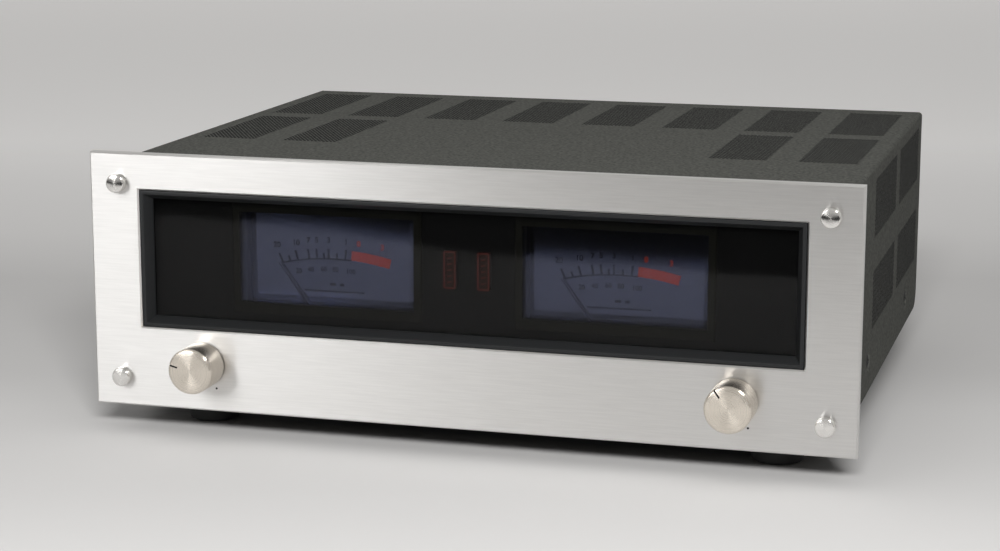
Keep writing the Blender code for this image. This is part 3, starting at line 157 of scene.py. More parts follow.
# Each finish: linear colour, roughness, noise in turns per metre, and how far the noise moves the colour
# (spread), the surface (bump, and depth in metres) and, by grain above, the roughness
plainLook = {"metallic": 0.0, "bump": 0.0, "depth": 0.0, "specular": 0.5, "alpha": 1.0}
finishTable = {
    "coverPaint": dict(colour=(0.065, 0.066, 0.0595), roughness=0.70, scale=620, spread=0.65, bump=0.60,
                       depth=0.00020, specular=0.05),
    # Painted shade for the holes' walls and the cover's inside
    "coverPrimer": dict(colour=(0.006, 0.006, 0.007), roughness=0.70, scale=1500, spread=0.3, bump=0.3,
                        depth=0.00006, specular=0.05),
    "panelPaint": dict(colour=(0.030, 0.030, 0.028), roughness=0.50, scale=1400, spread=0.25, bump=0.35,
                       depth=0.00008),
    "blackPaint": dict(colour=(0.003, 0.003, 0.003), roughness=0.60, scale=1400, spread=0.2, bump=0.05,
                       depth=0.00002, specular=0.1),
    "bezelPlastic": dict(colour=(0.012, 0.0125, 0.013), roughness=0.38, scale=1800, spread=0.12, bump=0.15,
                         depth=0.00004, specular=0.20),
    "olivePlastic": dict(colour=(0.007, 0.007, 0.0045), roughness=0.55, scale=1500, spread=0.12, bump=0.2,
                         depth=0.00004, specular=0.1),
    "blackPlastic": dict(colour=(0.018, 0.018, 0.018), roughness=0.42, scale=1600, spread=0.15, bump=0.15,
                         depth=0.00004),
    "redPlastic": dict(colour=(0.42, 0.018, 0.012), roughness=0.35, scale=1200, spread=0.08, bump=0.08,
                       depth=0.00003),
    "rubber": dict(colour=(0.020, 0.020, 0.020), roughness=0.80, scale=900, spread=0.25, bump=0.3,
                   depth=0.00008),
    "darkZinc": dict(colour=(0.08, 0.08, 0.075), roughness=0.45, metallic=1.0, scale=420, spread=0.15,
                     bump=0.08, depth=0.00003),
    "blackScrew": dict(colour=(0.012, 0.012, 0.012), roughness=0.50, scale=700, spread=0.15, bump=0.1,
                       depth=0.00003, specular=0.10),
    "zincSteel": dict(colour=(0.56, 0.55, 0.47), roughness=0.36, metallic=1.0, scale=420, spread=0.12,
                      bump=0.08, depth=0.00003),
    "sinkAluminium": dict(colour=(0.45, 0.45, 0.45), roughness=0.42, metallic=1.0, scale=(900, 900, 40),
                          spread=0.10, bump=0.2, depth=0.00004),
    "nickel": dict(colour=(0.66, 0.64, 0.58), roughness=0.22, metallic=1.0, scale=600, spread=0.05,
                   bump=0.04, depth=0.00002),
    "coreSteel": dict(colour=(0.16, 0.15, 0.14), roughness=0.55, metallic=0.6, scale=(90, 1800, 90),
                      spread=0.45, bump=0.6, depth=0.00012),
    "copperWinding": dict(colour=(0.50, 0.22, 0.09), roughness=0.35, metallic=0.8, scale=(60, 60, 900),
                          spread=0.35, bump=0.8, depth=0.0003),
    "blueSleeve": dict(colour=(0.030, 0.070, 0.180), roughness=0.35, scale=(300, 300, 60), spread=0.10,
                       bump=0.1, depth=0.00006),
    "brownBoard": dict(colour=(0.26, 0.165, 0.060), roughness=0.45, scale=260, spread=0.22, bump=0.1,
                       depth=0.00003),
    "dialGloss": dict(colour=(0.168, 0.190, 0.305), metallic=1.0, roughness=0.065, scale=350, spread=0.03),
    "needlePaint": dict(colour=(0.030, 0.033, 0.052), roughness=0.45, scale=900, spread=0.1, specular=0.1),
    "dialInk": dict(colour=(0.014, 0.014, 0.018), roughness=0.45, scale=1500, spread=0.15, specular=0.3),
    "printInk": dict(colour=(0.006, 0.006, 0.008), roughness=0.60, scale=1500, spread=0.15, specular=0.1),
    "dimRedInk": dict(colour=(0.130, 0.026, 0.020), roughness=0.60, scale=1200, spread=0.2, specular=0.1),
    "redInk": dict(colour=(0.50, 0.050, 0.014), roughness=0.55, scale=1200, spread=0.08, specular=0.1),
    "lensDark": dict(colour=(0.014, 0.004, 0.002), roughness=0.30, scale=900, spread=0.10, bump=0.05,
                     depth=0.00003, specular=0.1),
    "lampGlass": dict(colour=(0.85, 0.80, 0.66), roughness=0.08, scale=500, spread=0.03, alpha=0.5),
    "blueAcrylic": dict(colour=(0.55, 0.61, 1.00), metallic=1.0, roughness=0.05, scale=200, spread=0.04,
                        alpha=0.09),
    "smokedAcrylic": dict(colour=(0.002, 0.002, 0.002), roughness=0.045, scale=60, spread=0.05, alpha=0.34,
                          specular=0.28),
}
finishes = {}


def finish(name):
    if name not in finishes:
        look = {**plainLook, **finishTable[name]}
        scale = look["scale"] if isinstance(look["scale"], tuple) else (look["scale"],) * 3
        made, tree, shader = plainMaterial(name, look["colour"], look["roughness"], look["metallic"],
                                           {"Specular IOR Level": look["specular"], "Alpha": look["alpha"]})
        noise = placedNoise(tree, scale, grain["detail"])
        vary(tree, shader, noise, look, grain["roughShare"] * look["roughness"])
        finishes[name] = made
    return finishes[name]


# Brushed plate: long grooves along X, so the highlight spreads upwards
brushed = {"colour": (0.725, 0.716, 0.702), "roughness": 0.30, "scale": (60, 1300, 1300), "detail": 4.0,
           "spread": 0.04, "roughSpread": 0.03, "bump": 0.07, "depth": 0.00002, "anisotropy": 0.90,
           "turn": 0.25}
# Spun metal: rings about the Y axis through a centre, with the same spread across the grooves
spun = {"colour": (0.74, 0.68, 0.60), "roughness": 0.27, "ringsPerMetre": 5200, "detail": 2.0,
        "spread": 0.05, "roughSpread": 0.05, "bump": 0.06, "depth": 0.00001, "anisotropy": 0.88,
        "turn": 0.25}
spunHead = {**spun, "colour": (0.80, 0.785, 0.76), "roughness": 0.20, "anisotropy": 0.93}


def groovedMetal(name, look, axis):
    # Metal whose highlight spreads across grooves, with its tangent round an axis
    extra = {"Anisotropic": look["anisotropy"], "Anisotropic Rotation": look["turn"]}
    made, tree, shader = plainMaterial(name, look["colour"], look["roughness"], 1.0, extra)
    tangent = node(tree, "Tangent", direction_type="RADIAL", axis=axis)
    tree.links.new(tangent.outputs["Tangent"], shader.inputs["Tangent"])
    return made, tree, shader


def brushedMetal(name):
    made, tree, shader = groovedMetal(name, brushed, "Z")
    noise = placedNoise(tree, brushed["scale"], brushed["detail"])
    vary(tree, shader, noise, brushed, brushed["roughSpread"])
    return made


def spunMetal(name, centre, look):
    made, tree, shader = groovedMetal(name, look, "Y")
    coordinates = node(tree, "TexCoord")
    mapping = node(tree, "Mapping", {"Vector": coordinates.outputs["Object"], "Scale": (1, 0, 1),
                                     "Location": (-centre[0], 0, -centre[2])})
    distance = node(tree, "VectorMath", {0: mapping.outputs["Vector"]}, operation="LENGTH")
    along = node(tree, "SeparateXYZ", {0: coordinates.outputs["Object"]})
    mixed = node(tree, "Math", {0: distance.outputs["Value"], 1: along.outputs["Y"]}, operation="ADD")
    rings = node(tree, "TexNoise", {"W": mixed.outputs["Value"], "Scale": look["ringsPerMetre"],
                                    "Detail": look["detail"]}, noise_dimensions="1D")
    vary(tree, shader, rings, look, look["roughSpread"])
    return made


# Meshes from whole arrays
def gridFaces(rows, columns, closedRows=False, closedColumns=False):
    # Quads of a rows by columns grid whose points are numbered along the columns first
    i = np.arange(rows if closedRows else rows - 1)[:, None]
    j = np.arange(columns if closedColumns else columns - 1)[None, :]
    corner = lambda a, b: (a % rows) * columns + b % columns
    return np.stack([corner(i, j), corner(i, j + 1), corner(i + 1, j + 1), corner(i + 1, j)], -1).reshape(-1, 4)


def barFaces(rings):
    # Faces of a bar of four-cornered rings, closed at both ends
    last = 4 * (rings - 1)
    ends = [[3, 2, 1, 0], [last, last + 1, last + 2, last + 3]]
    return gridFaces(rings, 4, closedColumns=True).tolist() + ends


def welded(points, faces, pitch=1e-7):
    # Points at one place become one, and a quad that loses a corner becomes a triangle
    keys = np.round(points / pitch).astype(np.int64)
    _, first, where = np.unique(keys, axis=0, return_index=True, return_inverse=True)
    faces = where.reshape(-1)[faces]
    same = faces == np.roll(faces, -1, axis=1)
    triangles = faces[same.sum(1) == 1]
    triangles = triangles[~same[same.sum(1) == 1]].reshape(-1, 3)
    return points[first], faces[~same.any(1)].tolist() + triangles.tolist()


def addPiece(name, points, faces, material, body="chassis", replaced=(), sharpDegrees=32, weld=True):
    if weld:
        points, faces = welded(np.asarray(points, float), np.asarray(faces))
    mesh = bpy.data.meshes.new(name)
    mesh.from_pydata(np.asarray(points).tolist(), [], faces if isinstance(faces, list) else faces.tolist())
    shell = bmesh.new()
    shell.from_mesh(mesh)
    bmesh.ops.recalc_face_normals(shell, faces=shell.faces)
    shell.to_mesh(mesh)
    shell.free()
    mesh.shade_smooth()
    mesh.set_sharp_from_angle(angle=math.radians(sharpDegrees))
    mesh.materials.append(material)
    piece = bpy.data.objects.new(name, mesh)
    bpy.context.scene.collection.objects.link(piece)
    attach(piece, body)
    if replaced:
        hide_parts(*replaced)
    return piece


def centreOf(nodeName):
    low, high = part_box(nodeName)
    return (low + high) / 2


def corners(left, right, low, high):
    return (left, low), (right, low), (right, high), (left, high)


def roundedCorner(centre, radius, start, end, steps=6):
    # Arc points (a, b) about a centre, from one angle in degrees to another
    angles = np.radians(np.linspace(start, end, steps + 1))
    return [(centre[0] + radius * math.cos(a), centre[1] + radius * math.sin(a)) for a in angles]


# Arms of a turned shape: the widest share of the way to the next one, and the flat share of its floor
armShape = {"widest": 0.44, "flat": 0.93}


def spin(profile, centre, steps=96, dents=None, arms=0, firstArm=0.0, armHalf=0.0, axis="y"):
    # Surface of revolution: row i is a ring of radius profile[i][0] at profile[i][1] along the axis. Columns
    # gather at each arm, and the band within armHalf of it is moved by dents[i], a (radius, along) step
    profile = np.asarray(profile, float)
    rows = len(profile)
    radius = profile[:, :1]
    if arms:
        between, flat = 2 * math.pi / arms, armShape["flat"]
        widest = math.sin(between * armShape["widest"])
        edge = np.arcsin(np.clip(armHalf / np.maximum(radius, 1e-9), 0, widest))
        share = np.linspace(0, 1, steps // arms + 1)[None, 1:-1]
        block = np.concatenate([-edge, -flat * edge, flat * edge, edge, edge + (between - 2 * edge) * share],
                               axis=1)
        angles = np.concatenate([block + firstArm + between * k for k in range(arms)], axis=1)
        sunk = np.tile(np.isin(np.arange(block.shape[1]), (1, 2)), arms)
    else:
        angles = np.repeat(np.linspace(0, 2 * math.pi, steps, endpoint=False)[None, :], rows, axis=0)
        sunk = np.zeros(steps, bool)
    step = np.zeros((rows, 2)) if dents is None else np.asarray(dents, float)
    ringRadius = radius + step[:, :1] * sunk[None, :]
    along = profile[:, 1:] + step[:, 1:] * sunk[None, :]
    across, up = ringRadius * np.sin(angles), ringRadius * np.cos(angles)
    grids = {"y": (centre[0] + across, along, centre[2] + up), "z": (centre[0] + across, centre[1] + up, along),
             "x": (along, centre[1] + across, centre[2] + up)}
    points = np.stack(grids[axis], -1).reshape(-1, 3)
    return points, gridFaces(rows, angles.shape[1], closedColumns=True)


print("tools ready")

# Gain knobs: turned, chamfered, spun face, and a painted pointer groove from the rim down the side
knob = {"radius": 0.0116, "chamfer": 0.0010, "gap": 0.0008, "reach": 0.0176, "edge": 0.00015,
        "edgeShare": 0.6, "recess": 0.008, "recessDepth": 0.003, "bore": 0.0033, "shaftInside": 0.0138,
        "shaftGap": 0.0006, "steps": 144, "pointers": {"left": -75.0, "right": -35.5}, "grooveLength": 0.0048,
        "grooveHalf": 0.00045, "grooveDepth": 0.0005, "grooveSlope": 0.7, "grooveStep": 0.00003,
        "paint": 0.00008, "paintWidth": 0.9, "paintInset": 0.0001, "paintStop": 0.0004}


def makeKnob(hand):
    body = "gain_knob_" + hand
    centre = jointOf[body]["pos_m"]
    front, back = plateFront - knob["reach"], plateFront - knob["gap"]
    radius, chamfer, edge, depth = (knob[key] for key in ("radius", "chamfer", "edge", "grooveDepth"))
    nick, slope = edge * knob["edgeShare"], depth * knob["grooveSlope"]
    start = radius - knob["grooveLength"]
    floorY, boreEnd = back - knob["recessDepth"], plateFront - knob["shaftInside"] - knob["shaftGap"]
    profile = [(0, front), (start / 2, front), (start, front), (start + knob["grooveStep"], front),
               (radius - chamfer - edge, front), (radius - chamfer + nick, front + nick),
               (radius - nick, front + chamfer - nick), (radius, front + chamfer + edge),
               (radius, back - edge), (radius - edge, back), (knob["recess"], back),
               (knob["recess"], floorY), (knob["bore"], floorY), (knob["bore"], boreEnd), (0, boreEnd)]
    # The groove sinks into the face, across the chamfer and down the side
    dents = ([(0, 0)] * 3 + [(0, depth)] * 2 + [(-slope, slope)] * 2 + [(-depth, 0)] * 2
             + [(edge - depth, 0)] + [(0, 0)] * 5)
    turn = math.radians(knob["pointers"][hand])
    points, faces = spin(profile, centre, knob["steps"], dents, 1, turn, knob["grooveHalf"])
    addPiece("knob_" + hand, points, faces, spunMetal("spunKnob" + hand.title(), centre, spun), body,
             [body], sharpDegrees=28)
    # Black paint lies in the groove, just above its floor
    along = Vector((math.sin(turn), 0, math.cos(turn)))
    across = Vector((along.z, 0, -along.x)) * knob["grooveHalf"] * knob["paintWidth"]
    paint, first, last = knob["paint"], start + knob["paintInset"], back - knob["paintStop"]
    upper = [(first, front + depth - paint), (radius - chamfer, front + depth - paint),
             (radius - depth + paint, front + chamfer), (radius - depth + paint, last)]
    under = [(first, front + depth + paint), (radius - chamfer - paint, front + depth + paint),
             (radius - depth - paint, front + chamfer + paint), (radius - depth - paint, last)]
    middle = Vector((centre[0], 0, centre[2]))
    points = []
    for pair in zip(upper, under):
        top, low = (middle + along * r + Vector((0, y, 0)) for r, y in pair)
        points += [tuple(p) for p in (top - across, top + across, low + across, low - across)]
    addPiece("knob_pointer_" + hand, points, barFaces(len(upper)), finish("printInk"), body)


for hand in ("left", "right"):
    makeKnob(hand)

# Faceplate screws: turned round heads with a chamfer ring and a spun face
headScrew = {"radius": 0.0048, "proud": 0.0044, "chamfer": 0.0006, "seat": 0.0003, "shank": 0.0025,
             "shankLength": 0.012, "edge": 0.00012, "edgeShare": 0.6, "innerRing": 0.0008, "steps": 96}


def makeHeadScrew(nodeName):
    centre = centreOf(nodeName)
    front, back = plateFront - headScrew["proud"], plateFront - headScrew["seat"]
    radius, chamfer, edge, shank = (headScrew[key] for key in ("radius", "chamfer", "edge", "shank"))
    nick, tip = edge * headScrew["edgeShare"], plateFront + headScrew["shankLength"]
    profile = [(0, front), (headScrew["innerRing"], front), (radius - chamfer - edge, front),
               (radius - chamfer + nick, front + nick), (radius - nick, front + chamfer - nick),
               (radius, front + chamfer + edge), (radius, back - edge), (radius - edge, back),
               (shank, back), (shank, tip), (0, tip)]
    points, faces = spin(profile, centre, headScrew["steps"])
    addPiece(nodeName.replace("faceplate_screw", "head_screw"), points, faces,
             spunMetal("spun_" + nodeName, centre, spunHead), "chassis", [nodeName],
             sharpDegrees=28)


for nodeName in sorted(n for n in nodes if n.startswith("faceplate_screw")):
    makeHeadScrew(nodeName)
print("knobs and faceplate screws made")

# Cover: one flat pattern with six-sided holes and dished screw places, folded down both sides
cover = {"bend": 0.002, "sheet": 0.0012, "bendSteps": 6, "corner": 0.011, "seam": 0.093,
         "holeRadius": 0.00088, "holeSides": 6, "holePitch": 0.00215, "alongPitch": 0.001862,
         "across": 14, "rearAlong": 49, "frontAlong": 48, "columns": 8, "pitch": 0.0465, "rearEnd": 0.015,
         "gap": 0.0155, "frontColumns": (0, 1, 6, 7), "sideTops": (0.00725, 0.05445),
         "dishRadii": (0.0022, 0.0040, 0.0046, 0.0051, 0.0056, 0.0061, 0.0066, 0.0072), "dishSides": 32,
         "dishFlat": 0.0044, "dishRim": 0.0069, "dishDepth": 0.002, "dishShares": (0.298, 0.816),
         "dishHeight": 0.1424, "screwTurn": 0.2}
coverLow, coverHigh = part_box("top_cover")
caseDepth = coverHigh.y - plateFront
dishPlaces = [plateFront + caseDepth * share for share in cover["dishShares"]]
dishZ = coverLow.z + (coverHigh.z - coverLow.z) * cover["dishHeight"]


def ringsAt(centres, radius, sides, turn):
    # Points of regular rings round each centre, and the edges that close each ring
    angles = turn + 2 * math.pi * np.arange(sides) / sides
    ring = radius * np.stack([np.cos(angles), np.sin(angles)], -1)
    points = (np.asarray(centres)[:, None, :] + ring[None]).reshape(-1, 2)
    numbers = np.arange(len(points)).reshape(-1, sides)
    return points, np.stack([numbers, np.roll(numbers, -1, axis=1)], -1).reshape(-1, 2)


def makeCover():
    half, top = coverHigh.x, coverHigh.z
    bend, sheet = cover["bend"], cover["sheet"]
    flat = half - bend
    fold = bend * math.pi / 2
    girth = flat + fold + (top - bend - coverLow.z)
    front, back = coverLow.y, coverHigh.y
    # Tolerances: two shares of a radius, and two lengths in metres
    holeInside, openingInside, sameRow, epsilon = 0.999, 0.99, 1e-6, 1e-8
    sideAt = lambda z: flat + fold + (top - bend - z)

    # Hole centres in the flat pattern
    columns = cover["pitch"] * (np.arange(cover["columns"]) - (cover["columns"] - 1) / 2)
    offsets = cover["holePitch"] * (np.arange(cover["across"]) - (cover["across"] - 1) / 2)
    rearEnd = back - cover["rearEnd"]
    rearLength = cover["alongPitch"] * cover["rearAlong"]
    frontEnd = rearEnd - rearLength - cover["gap"]
    runs = [rearEnd - cover["alongPitch"] * (np.arange(cover["rearAlong"]) + 0.5),
            frontEnd - cover["alongPitch"] * (np.arange(cover["frontAlong"]) + 0.5)]
    patches = [(u, runs[0]) for u in columns] + [(columns[i], runs[1]) for i in cover["frontColumns"]]
    for drop in cover["sideTops"]:
        middle = sideAt(top - drop - cover["holePitch"] * cover["across"] / 2)
        patches += [(side * middle, run) for side in (-1, 1) for run in runs]
    # Rows are shifted by a quarter of the pitch, to one side and the other in turn
    shift = cover["holePitch"] / 4
    centres = []
    for u, run in patches:
        for number, v in enumerate(run):
            centres += [(u + offset + (shift if number % 2 else -shift), v) for offset in offsets]
    centres = np.array(centres)

    # Outline with rounded rear corners, fold lines, hole rings and dish rings
    corner = cover["corner"]
    outline = [(-girth, front), (girth, front)] + roundedCorner((girth - corner, back - corner), corner, 0, 90)
    outline += roundedCorner((corner - girth, back - corner), corner, 90, 180)
    outline = np.array(outline)
    count = len(outline)
    points, edges = [outline], [np.stack([np.arange(count), np.roll(np.arange(count), -1)], -1)]
    for side in (-1, 1):
        for k in range(cover["bendSteps"] + 1):
            u = side * (flat + fold * k / cover["bendSteps"])
            points.append(np.array([(u, front), (u, back)]))
            edges.append(np.array([[count, count + 1]]))
            count += 2
    dishes = [(side * sideAt(dishZ), y) for side in (-1, 1) for y in dishPlaces]
    rings = [ringsAt(centres, cover["holeRadius"], cover["holeSides"], math.pi / cover["holeSides"])]
    rings += [ringsAt(dishes, radius, cover["dishSides"], 0.0) for radius in cover["dishRadii"]]
    for ringPoints, ringEdges in rings:
        points.append(ringPoints)
        edges.append(ringEdges + count)
        count += len(ringPoints)
    flatPoints, _, triangles, *_ = delaunay_2d_cdt(np.concatenate(points).tolist(),
                                                   np.concatenate(edges).tolist(), [], 0, epsilon)
    pattern = np.array([tuple(p) for p in flatPoints])
    triangles = np.array(triangles)

    # Triangles inside a hole or a screw's opening are left out
    middles = pattern[triangles].mean(1)
    keep = np.ones(len(triangles), bool)
    limit = cover["holeRadius"] * math.cos(math.pi / cover["holeSides"]) * holeInside
    for v in np.unique(np.round(centres[:, 1], 7)):
        row = centres[np.abs(centres[:, 1] - v) < sameRow, 0]
        near = np.flatnonzero(np.abs(middles[:, 1] - v) < limit)
        gap = np.abs(middles[near, None, 0] - row[None, :]).min(1)
        keep[near[np.hypot(gap, middles[near, 1] - v) < limit]] = False
    for u, v in dishes:
        keep &= np.hypot(middles[:, 0] - u, middles[:, 1] - v) > cover["dishRadii"][0] * openingInside
    triangles = triangles[keep]

    # Fold: flat top, a quarter turn, then straight down; dishes sink along the normal
    u, v = np.abs(pattern[:, 0]), pattern[:, 1]
    side = np.sign(pattern[:, 0])
    turn = np.clip((u - flat) / bend, 0, math.pi / 2)
    drop = np.maximum(u - flat - fold, 0)
    normal = np.stack([side * np.sin(turn), np.zeros_like(turn), np.cos(turn)], -1)
    place = np.stack([side * (np.minimum(u, flat) + bend * np.sin(turn)), v,
                      top - bend * (1 - np.cos(turn)) - drop], -1)
    away = np.min([np.hypot(pattern[:, 0] - du, v - dv) for du, dv in dishes], axis=0)
    share = np.clip((away - cover["dishFlat"]) / (cover["dishRim"] - cover["dishFlat"]), 0, 1)
    place = place - normal * (cover["dishDepth"] * (1 - share * share * (3 - 2 * share)))[:, None]
    outer, inner = place, place - normal * sheet

    # The sheet is made as three closed pieces that meet on the flat top between columns of patches
    part = np.digitize(pattern[triangles][:, :, 0].mean(1), (-cover["seam"], cover["seam"]))
    for number, name in enumerate(("left", "middle", "right")):
        used, numbers = np.unique(triangles[part == number], return_inverse=True)
        shell, total = numbers.reshape(-1, 3), len(used)
        rims = np.concatenate([shell[:, [0, 1]], shell[:, [1, 2]], shell[:, [2, 0]]])
        _, where, counts = np.unique(np.sort(rims, axis=1), axis=0, return_inverse=True, return_counts=True)
        rims = rims[counts[where.reshape(-1)] == 1]
        walls = np.stack([rims[:, 1], rims[:, 0], rims[:, 0] + total, rims[:, 1] + total], -1)
        faces = shell.tolist() + (shell[:, ::-1] + total).tolist() + walls.tolist()
        piece = addPiece("perforated_cover_" + name, np.concatenate([outer[used], inner[used]]), faces,
                         finish("coverPaint"), "chassis", ["top_cover"], sharpDegrees=40,
                         weld=False)
        # The holes' walls and the inside get a darker paint: painted shade, where little light reaches
        piece.data.materials.append(finish("coverPrimer"))
        paints = np.repeat([0, 1], [len(shell), len(faces) - len(shell)])
        piece.data.polygons.foreach_set("material_index", paints)
        print("cover piece", name, len(faces), "faces")


makeCover()

# Window bezel: one moulded section with small round edges, carried round the opening and mitred
bezel = {"setback": 0.0006, "lip": 0.002, "slope": 0.0027, "edge": 0.0006, "pocket": 0.002, "flange": 0.004,
         "gap": 0.0003, "round": 0.0004, "roundShares": (0.2, 0.3, 0.35, 0.5), "margin": 0.02625,
         "low": 0.04145, "head": 0.01855}


def makeBezel():
    # The section's points are (distance in from the opening's edge, y), from the flange round to the flange
    front, back = plateFront + bezel["setback"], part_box("window_bezel")[1].y
    outer, pocket, flange, r = (bezel[key] for key in ("gap", "pocket", "flange", "round"))
    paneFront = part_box("smoked_window")[0].y - bezel["gap"]
    flangeFront, edgeFront = plateHigh.y + bezel["gap"], paneFront - bezel["edge"]
    lipEnd = outer + bezel["lip"]
    inner = lipEnd + bezel["slope"]
    slight, third, wide, half = (r * share for share in bezel["roundShares"])
    section = np.array([
        (outer, flangeFront), (outer, front + r), (outer + third, front + third), (outer + r, front),
        (lipEnd - r, front), (lipEnd - slight, front + slight), (lipEnd + wide, front + r),
        (inner - slight, edgeFront - half), (inner, edgeFront), (inner, paneFront), (pocket, paneFront),
        (pocket, back), (-flange, back), (-flange, flangeFront)])
    windowX = plateHigh.x - bezel["margin"]
    places = np.array(corners(-windowX, windowX, plateLow.z + bezel["low"], plateHigh.z - bezel["head"]))
    inward = np.array(corners(1, -1, 1, -1))
    points = np.stack([places[:, :1] + inward[:, :1] * section[None, :, 0],
                       np.repeat(section[None, :, 1], 4, axis=0),
                       places[:, 1:] + inward[:, 1:] * section[None, :, 0]], -1).reshape(-1, 3)
    addPiece("moulded_bezel", points, gridFaces(4, len(section), True, True), finish("bezelPlastic"),
             "chassis", ["window_bezel"], sharpDegrees=30)


makeBezel()


# Printed marks: flat strips of ink and digits of the built-in font, on a face that looks along Y
digits = {"curveSteps": 3, "boldness": 0.035}


def strip(route, halfWidth, nearY, farY):
    # A rectangle of the given half width carried along a route of (x, z) points, mitred square to it
    route = np.asarray(route, float)
    step = np.gradient(route, axis=0)
    step /= np.linalg.norm(step, axis=1, keepdims=True)
    side = np.stack([-step[:, 1], step[:, 0]], -1) * halfWidth
    rows = []
    for shift, y in ((side, nearY), (-side, nearY), (-side, farY), (side, farY)):
        edge = route + shift
        rows.append(np.stack([edge[:, 0], np.full(len(route), y), edge[:, 1]], -1))
    return np.stack(rows, 1).reshape(-1, 3), barFaces(len(route))


def joined(parts):
    # Several (points, faces) pairs as one mesh
    points, faces, count = [], [], 0
    for partPoints, partFaces in parts:
        points.append(np.asarray(partPoints, float))
        faces += [[corner + count for corner in face] for face in partFaces]
        count += len(partPoints)
    return np.concatenate(points), faces


def numberMark(text, x, z, size, nearY, farY):
    # Digits upright on the XZ plane, turned to a mesh before they are placed
    curve = bpy.data.curves.new("digits", "FONT")
    curve.body, curve.size, curve.align_x, curve.align_y = text, size, "CENTER", "CENTER"
    curve.extrude = abs(farY - nearY) / 2
    curve.resolution_u = digits["curveSteps"]
    curve.offset = size * digits["boldness"]
    holder = bpy.data.objects.new("digits", curve)
    bpy.context.scene.collection.objects.link(holder)
    bpy.context.view_layer.update()
    mesh = bpy.data.meshes.new_from_object(holder.evaluated_get(bpy.context.evaluated_depsgraph_get()))
    flat = np.empty(len(mesh.vertices) * 3)
    mesh.vertices.foreach_get("co", flat)
    flat = flat.reshape(-1, 3)
    faces = [list(face.vertices) for face in mesh.polygons]
    bpy.data.objects.remove(holder)
    bpy.data.curves.remove(curve)
    bpy.data.meshes.remove(mesh)
    return np.stack([flat[:, 0] + x, (nearY + farY) / 2 - flat[:, 2], flat[:, 1] + z], -1), faces


# Meter dials: one scale arc with long and short ticks, a red band, plain numbers over and under it. Places
# are (x, z) from the dial's middle line and the faceplate's middle height
dial = {"arcRadius": 0.120, "arcTop": 0.0119, "arcLeft": -0.0283, "arcRight": 0.0094, "arcSteps": 28,
        "line": 0.00042, "tick": 0.00056, "ink": 0.00006, "bandLow": 0.0001, "bandHigh": 0.0050,
        "bandRight": 0.0300, "bandSteps": 20, "tallHeight": 0.0052, "shortHeight": 0.0030, "lean": 0.55,
        "tall": (-0.0274, -0.0192, -0.0130, -0.0088, -0.0027, 0.0061), "short": (-0.0233, -0.0052, 0.0017),
        "numberSize": 0.0040, "belowSize": 0.85, "belowDrop": 0.0010,
        "above": (("20", -0.0305, 0.0177), ("10", -0.0202, 0.0193), ("7", -0.0136, 0.0208),
                  ("5", -0.0092, 0.0211), ("3", -0.0027, 0.0214), ("1", 0.0066, 0.0208)),
        "redAbove": (("0", 0.0133, 0.0202), ("3", 0.0258, 0.0190)),
        "below": (("20", -0.0189, 0.0058), ("40", -0.0124, 0.0068), ("60", -0.0055, 0.0074),
                  ("80", 0.0008, 0.0074), ("100", 0.0089, 0.0068)),
        "dots": (-0.0192, -0.0130, -0.0055, 0.0008, 0.0089), "dotDrop": 0.0014, "dotHalf": 0.00025,
        "ruleHalf": 0.016, "ruleDrop": 0.0048, "bars": ((-0.0006, 0.0016), (0.0042, 0.0012)),
        "barDrop": 0.0012, "bar": 0.0007}


def makeDial(hand):
    low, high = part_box("meter_dial_" + hand)
    x0 = (low.x + high.x) / 2
    nearY, farY = low.y - dial["ink"], low.y + dial["ink"] / 2
    hub = plateMiddleZ + dial["arcTop"] - dial["arcRadius"]
    height = lambda x, radius: hub + math.sqrt(radius * radius - x * x)

    def arcRoute(start, end, radius, steps):
        x = np.linspace(start, end, steps)
        return np.stack([x0 + x, hub + np.sqrt(radius ** 2 - x ** 2)], -1)

    route = arcRoute(dial["arcLeft"], dial["arcRight"], dial["arcRadius"], dial["arcSteps"])
    black = [strip(route, dial["line"], nearY, farY)]
    for marks, tall in ((dial["tall"], dial["tallHeight"]), (dial["short"], dial["shortHeight"])):
        for x in marks:
            # Ticks point away from the needle's pivot, more slanted than the arc's own radius
            base = Vector((x0 + x, height(x, dial["arcRadius"])))
            tip = base + Vector((x / dial["arcRadius"] / dial["lean"], 1)).normalized() * tall
            black.append(strip([base, tip], dial["tick"], nearY, farY))
    for text, x, z in dial["above"]:
        black.append(numberMark(text, x0 + x, plateMiddleZ + z, dial["numberSize"], nearY, farY))
    for text, x, z in dial["below"]:
        black.append(numberMark(text, x0 + x, plateMiddleZ + z - dial["belowDrop"],
                                dial["numberSize"] * dial["belowSize"], nearY, farY))
    # Level marks: dots under the arc, a rule, and two bars
    levels = [(x, height(x, dial["arcRadius"] - dial["dotDrop"]), dial["dotHalf"], dial["dotHalf"])
              for x in dial["dots"]]
    levels.append((0.0, plateMiddleZ - dial["ruleDrop"], dial["ruleHalf"], dial["line"]))
    levels += [(x, plateMiddleZ - dial["barDrop"], half, dial["bar"]) for x, half in dial["bars"]]
    for x, z, half, thick in levels:
        black.append(strip([(x0 + x - half, z), (x0 + x + half, z)], thick, nearY, farY))

    middle = dial["arcRadius"] + (dial["bandLow"] + dial["bandHigh"]) / 2
    red = [strip(arcRoute(dial["arcRight"], dial["bandRight"], middle, dial["bandSteps"]),
                 (dial["bandHigh"] - dial["bandLow"]) / 2, nearY, farY)]
    for text, x, z in dial["redAbove"]:
        red.append(numberMark(text, x0 + x, plateMiddleZ + z, dial["numberSize"], nearY, farY))
    for name, parts, ink, slot in (("dial_scale_", black, "dialInk", "blue_dial"),
                                   ("dial_red_band_", red, "redInk", "red_plastic")):
        points, faces = joined(parts)
        addPiece(name + hand, points, faces, finish(ink), "chassis", weld=False)


for hand in ("left", "right"):
    makeDial(hand)

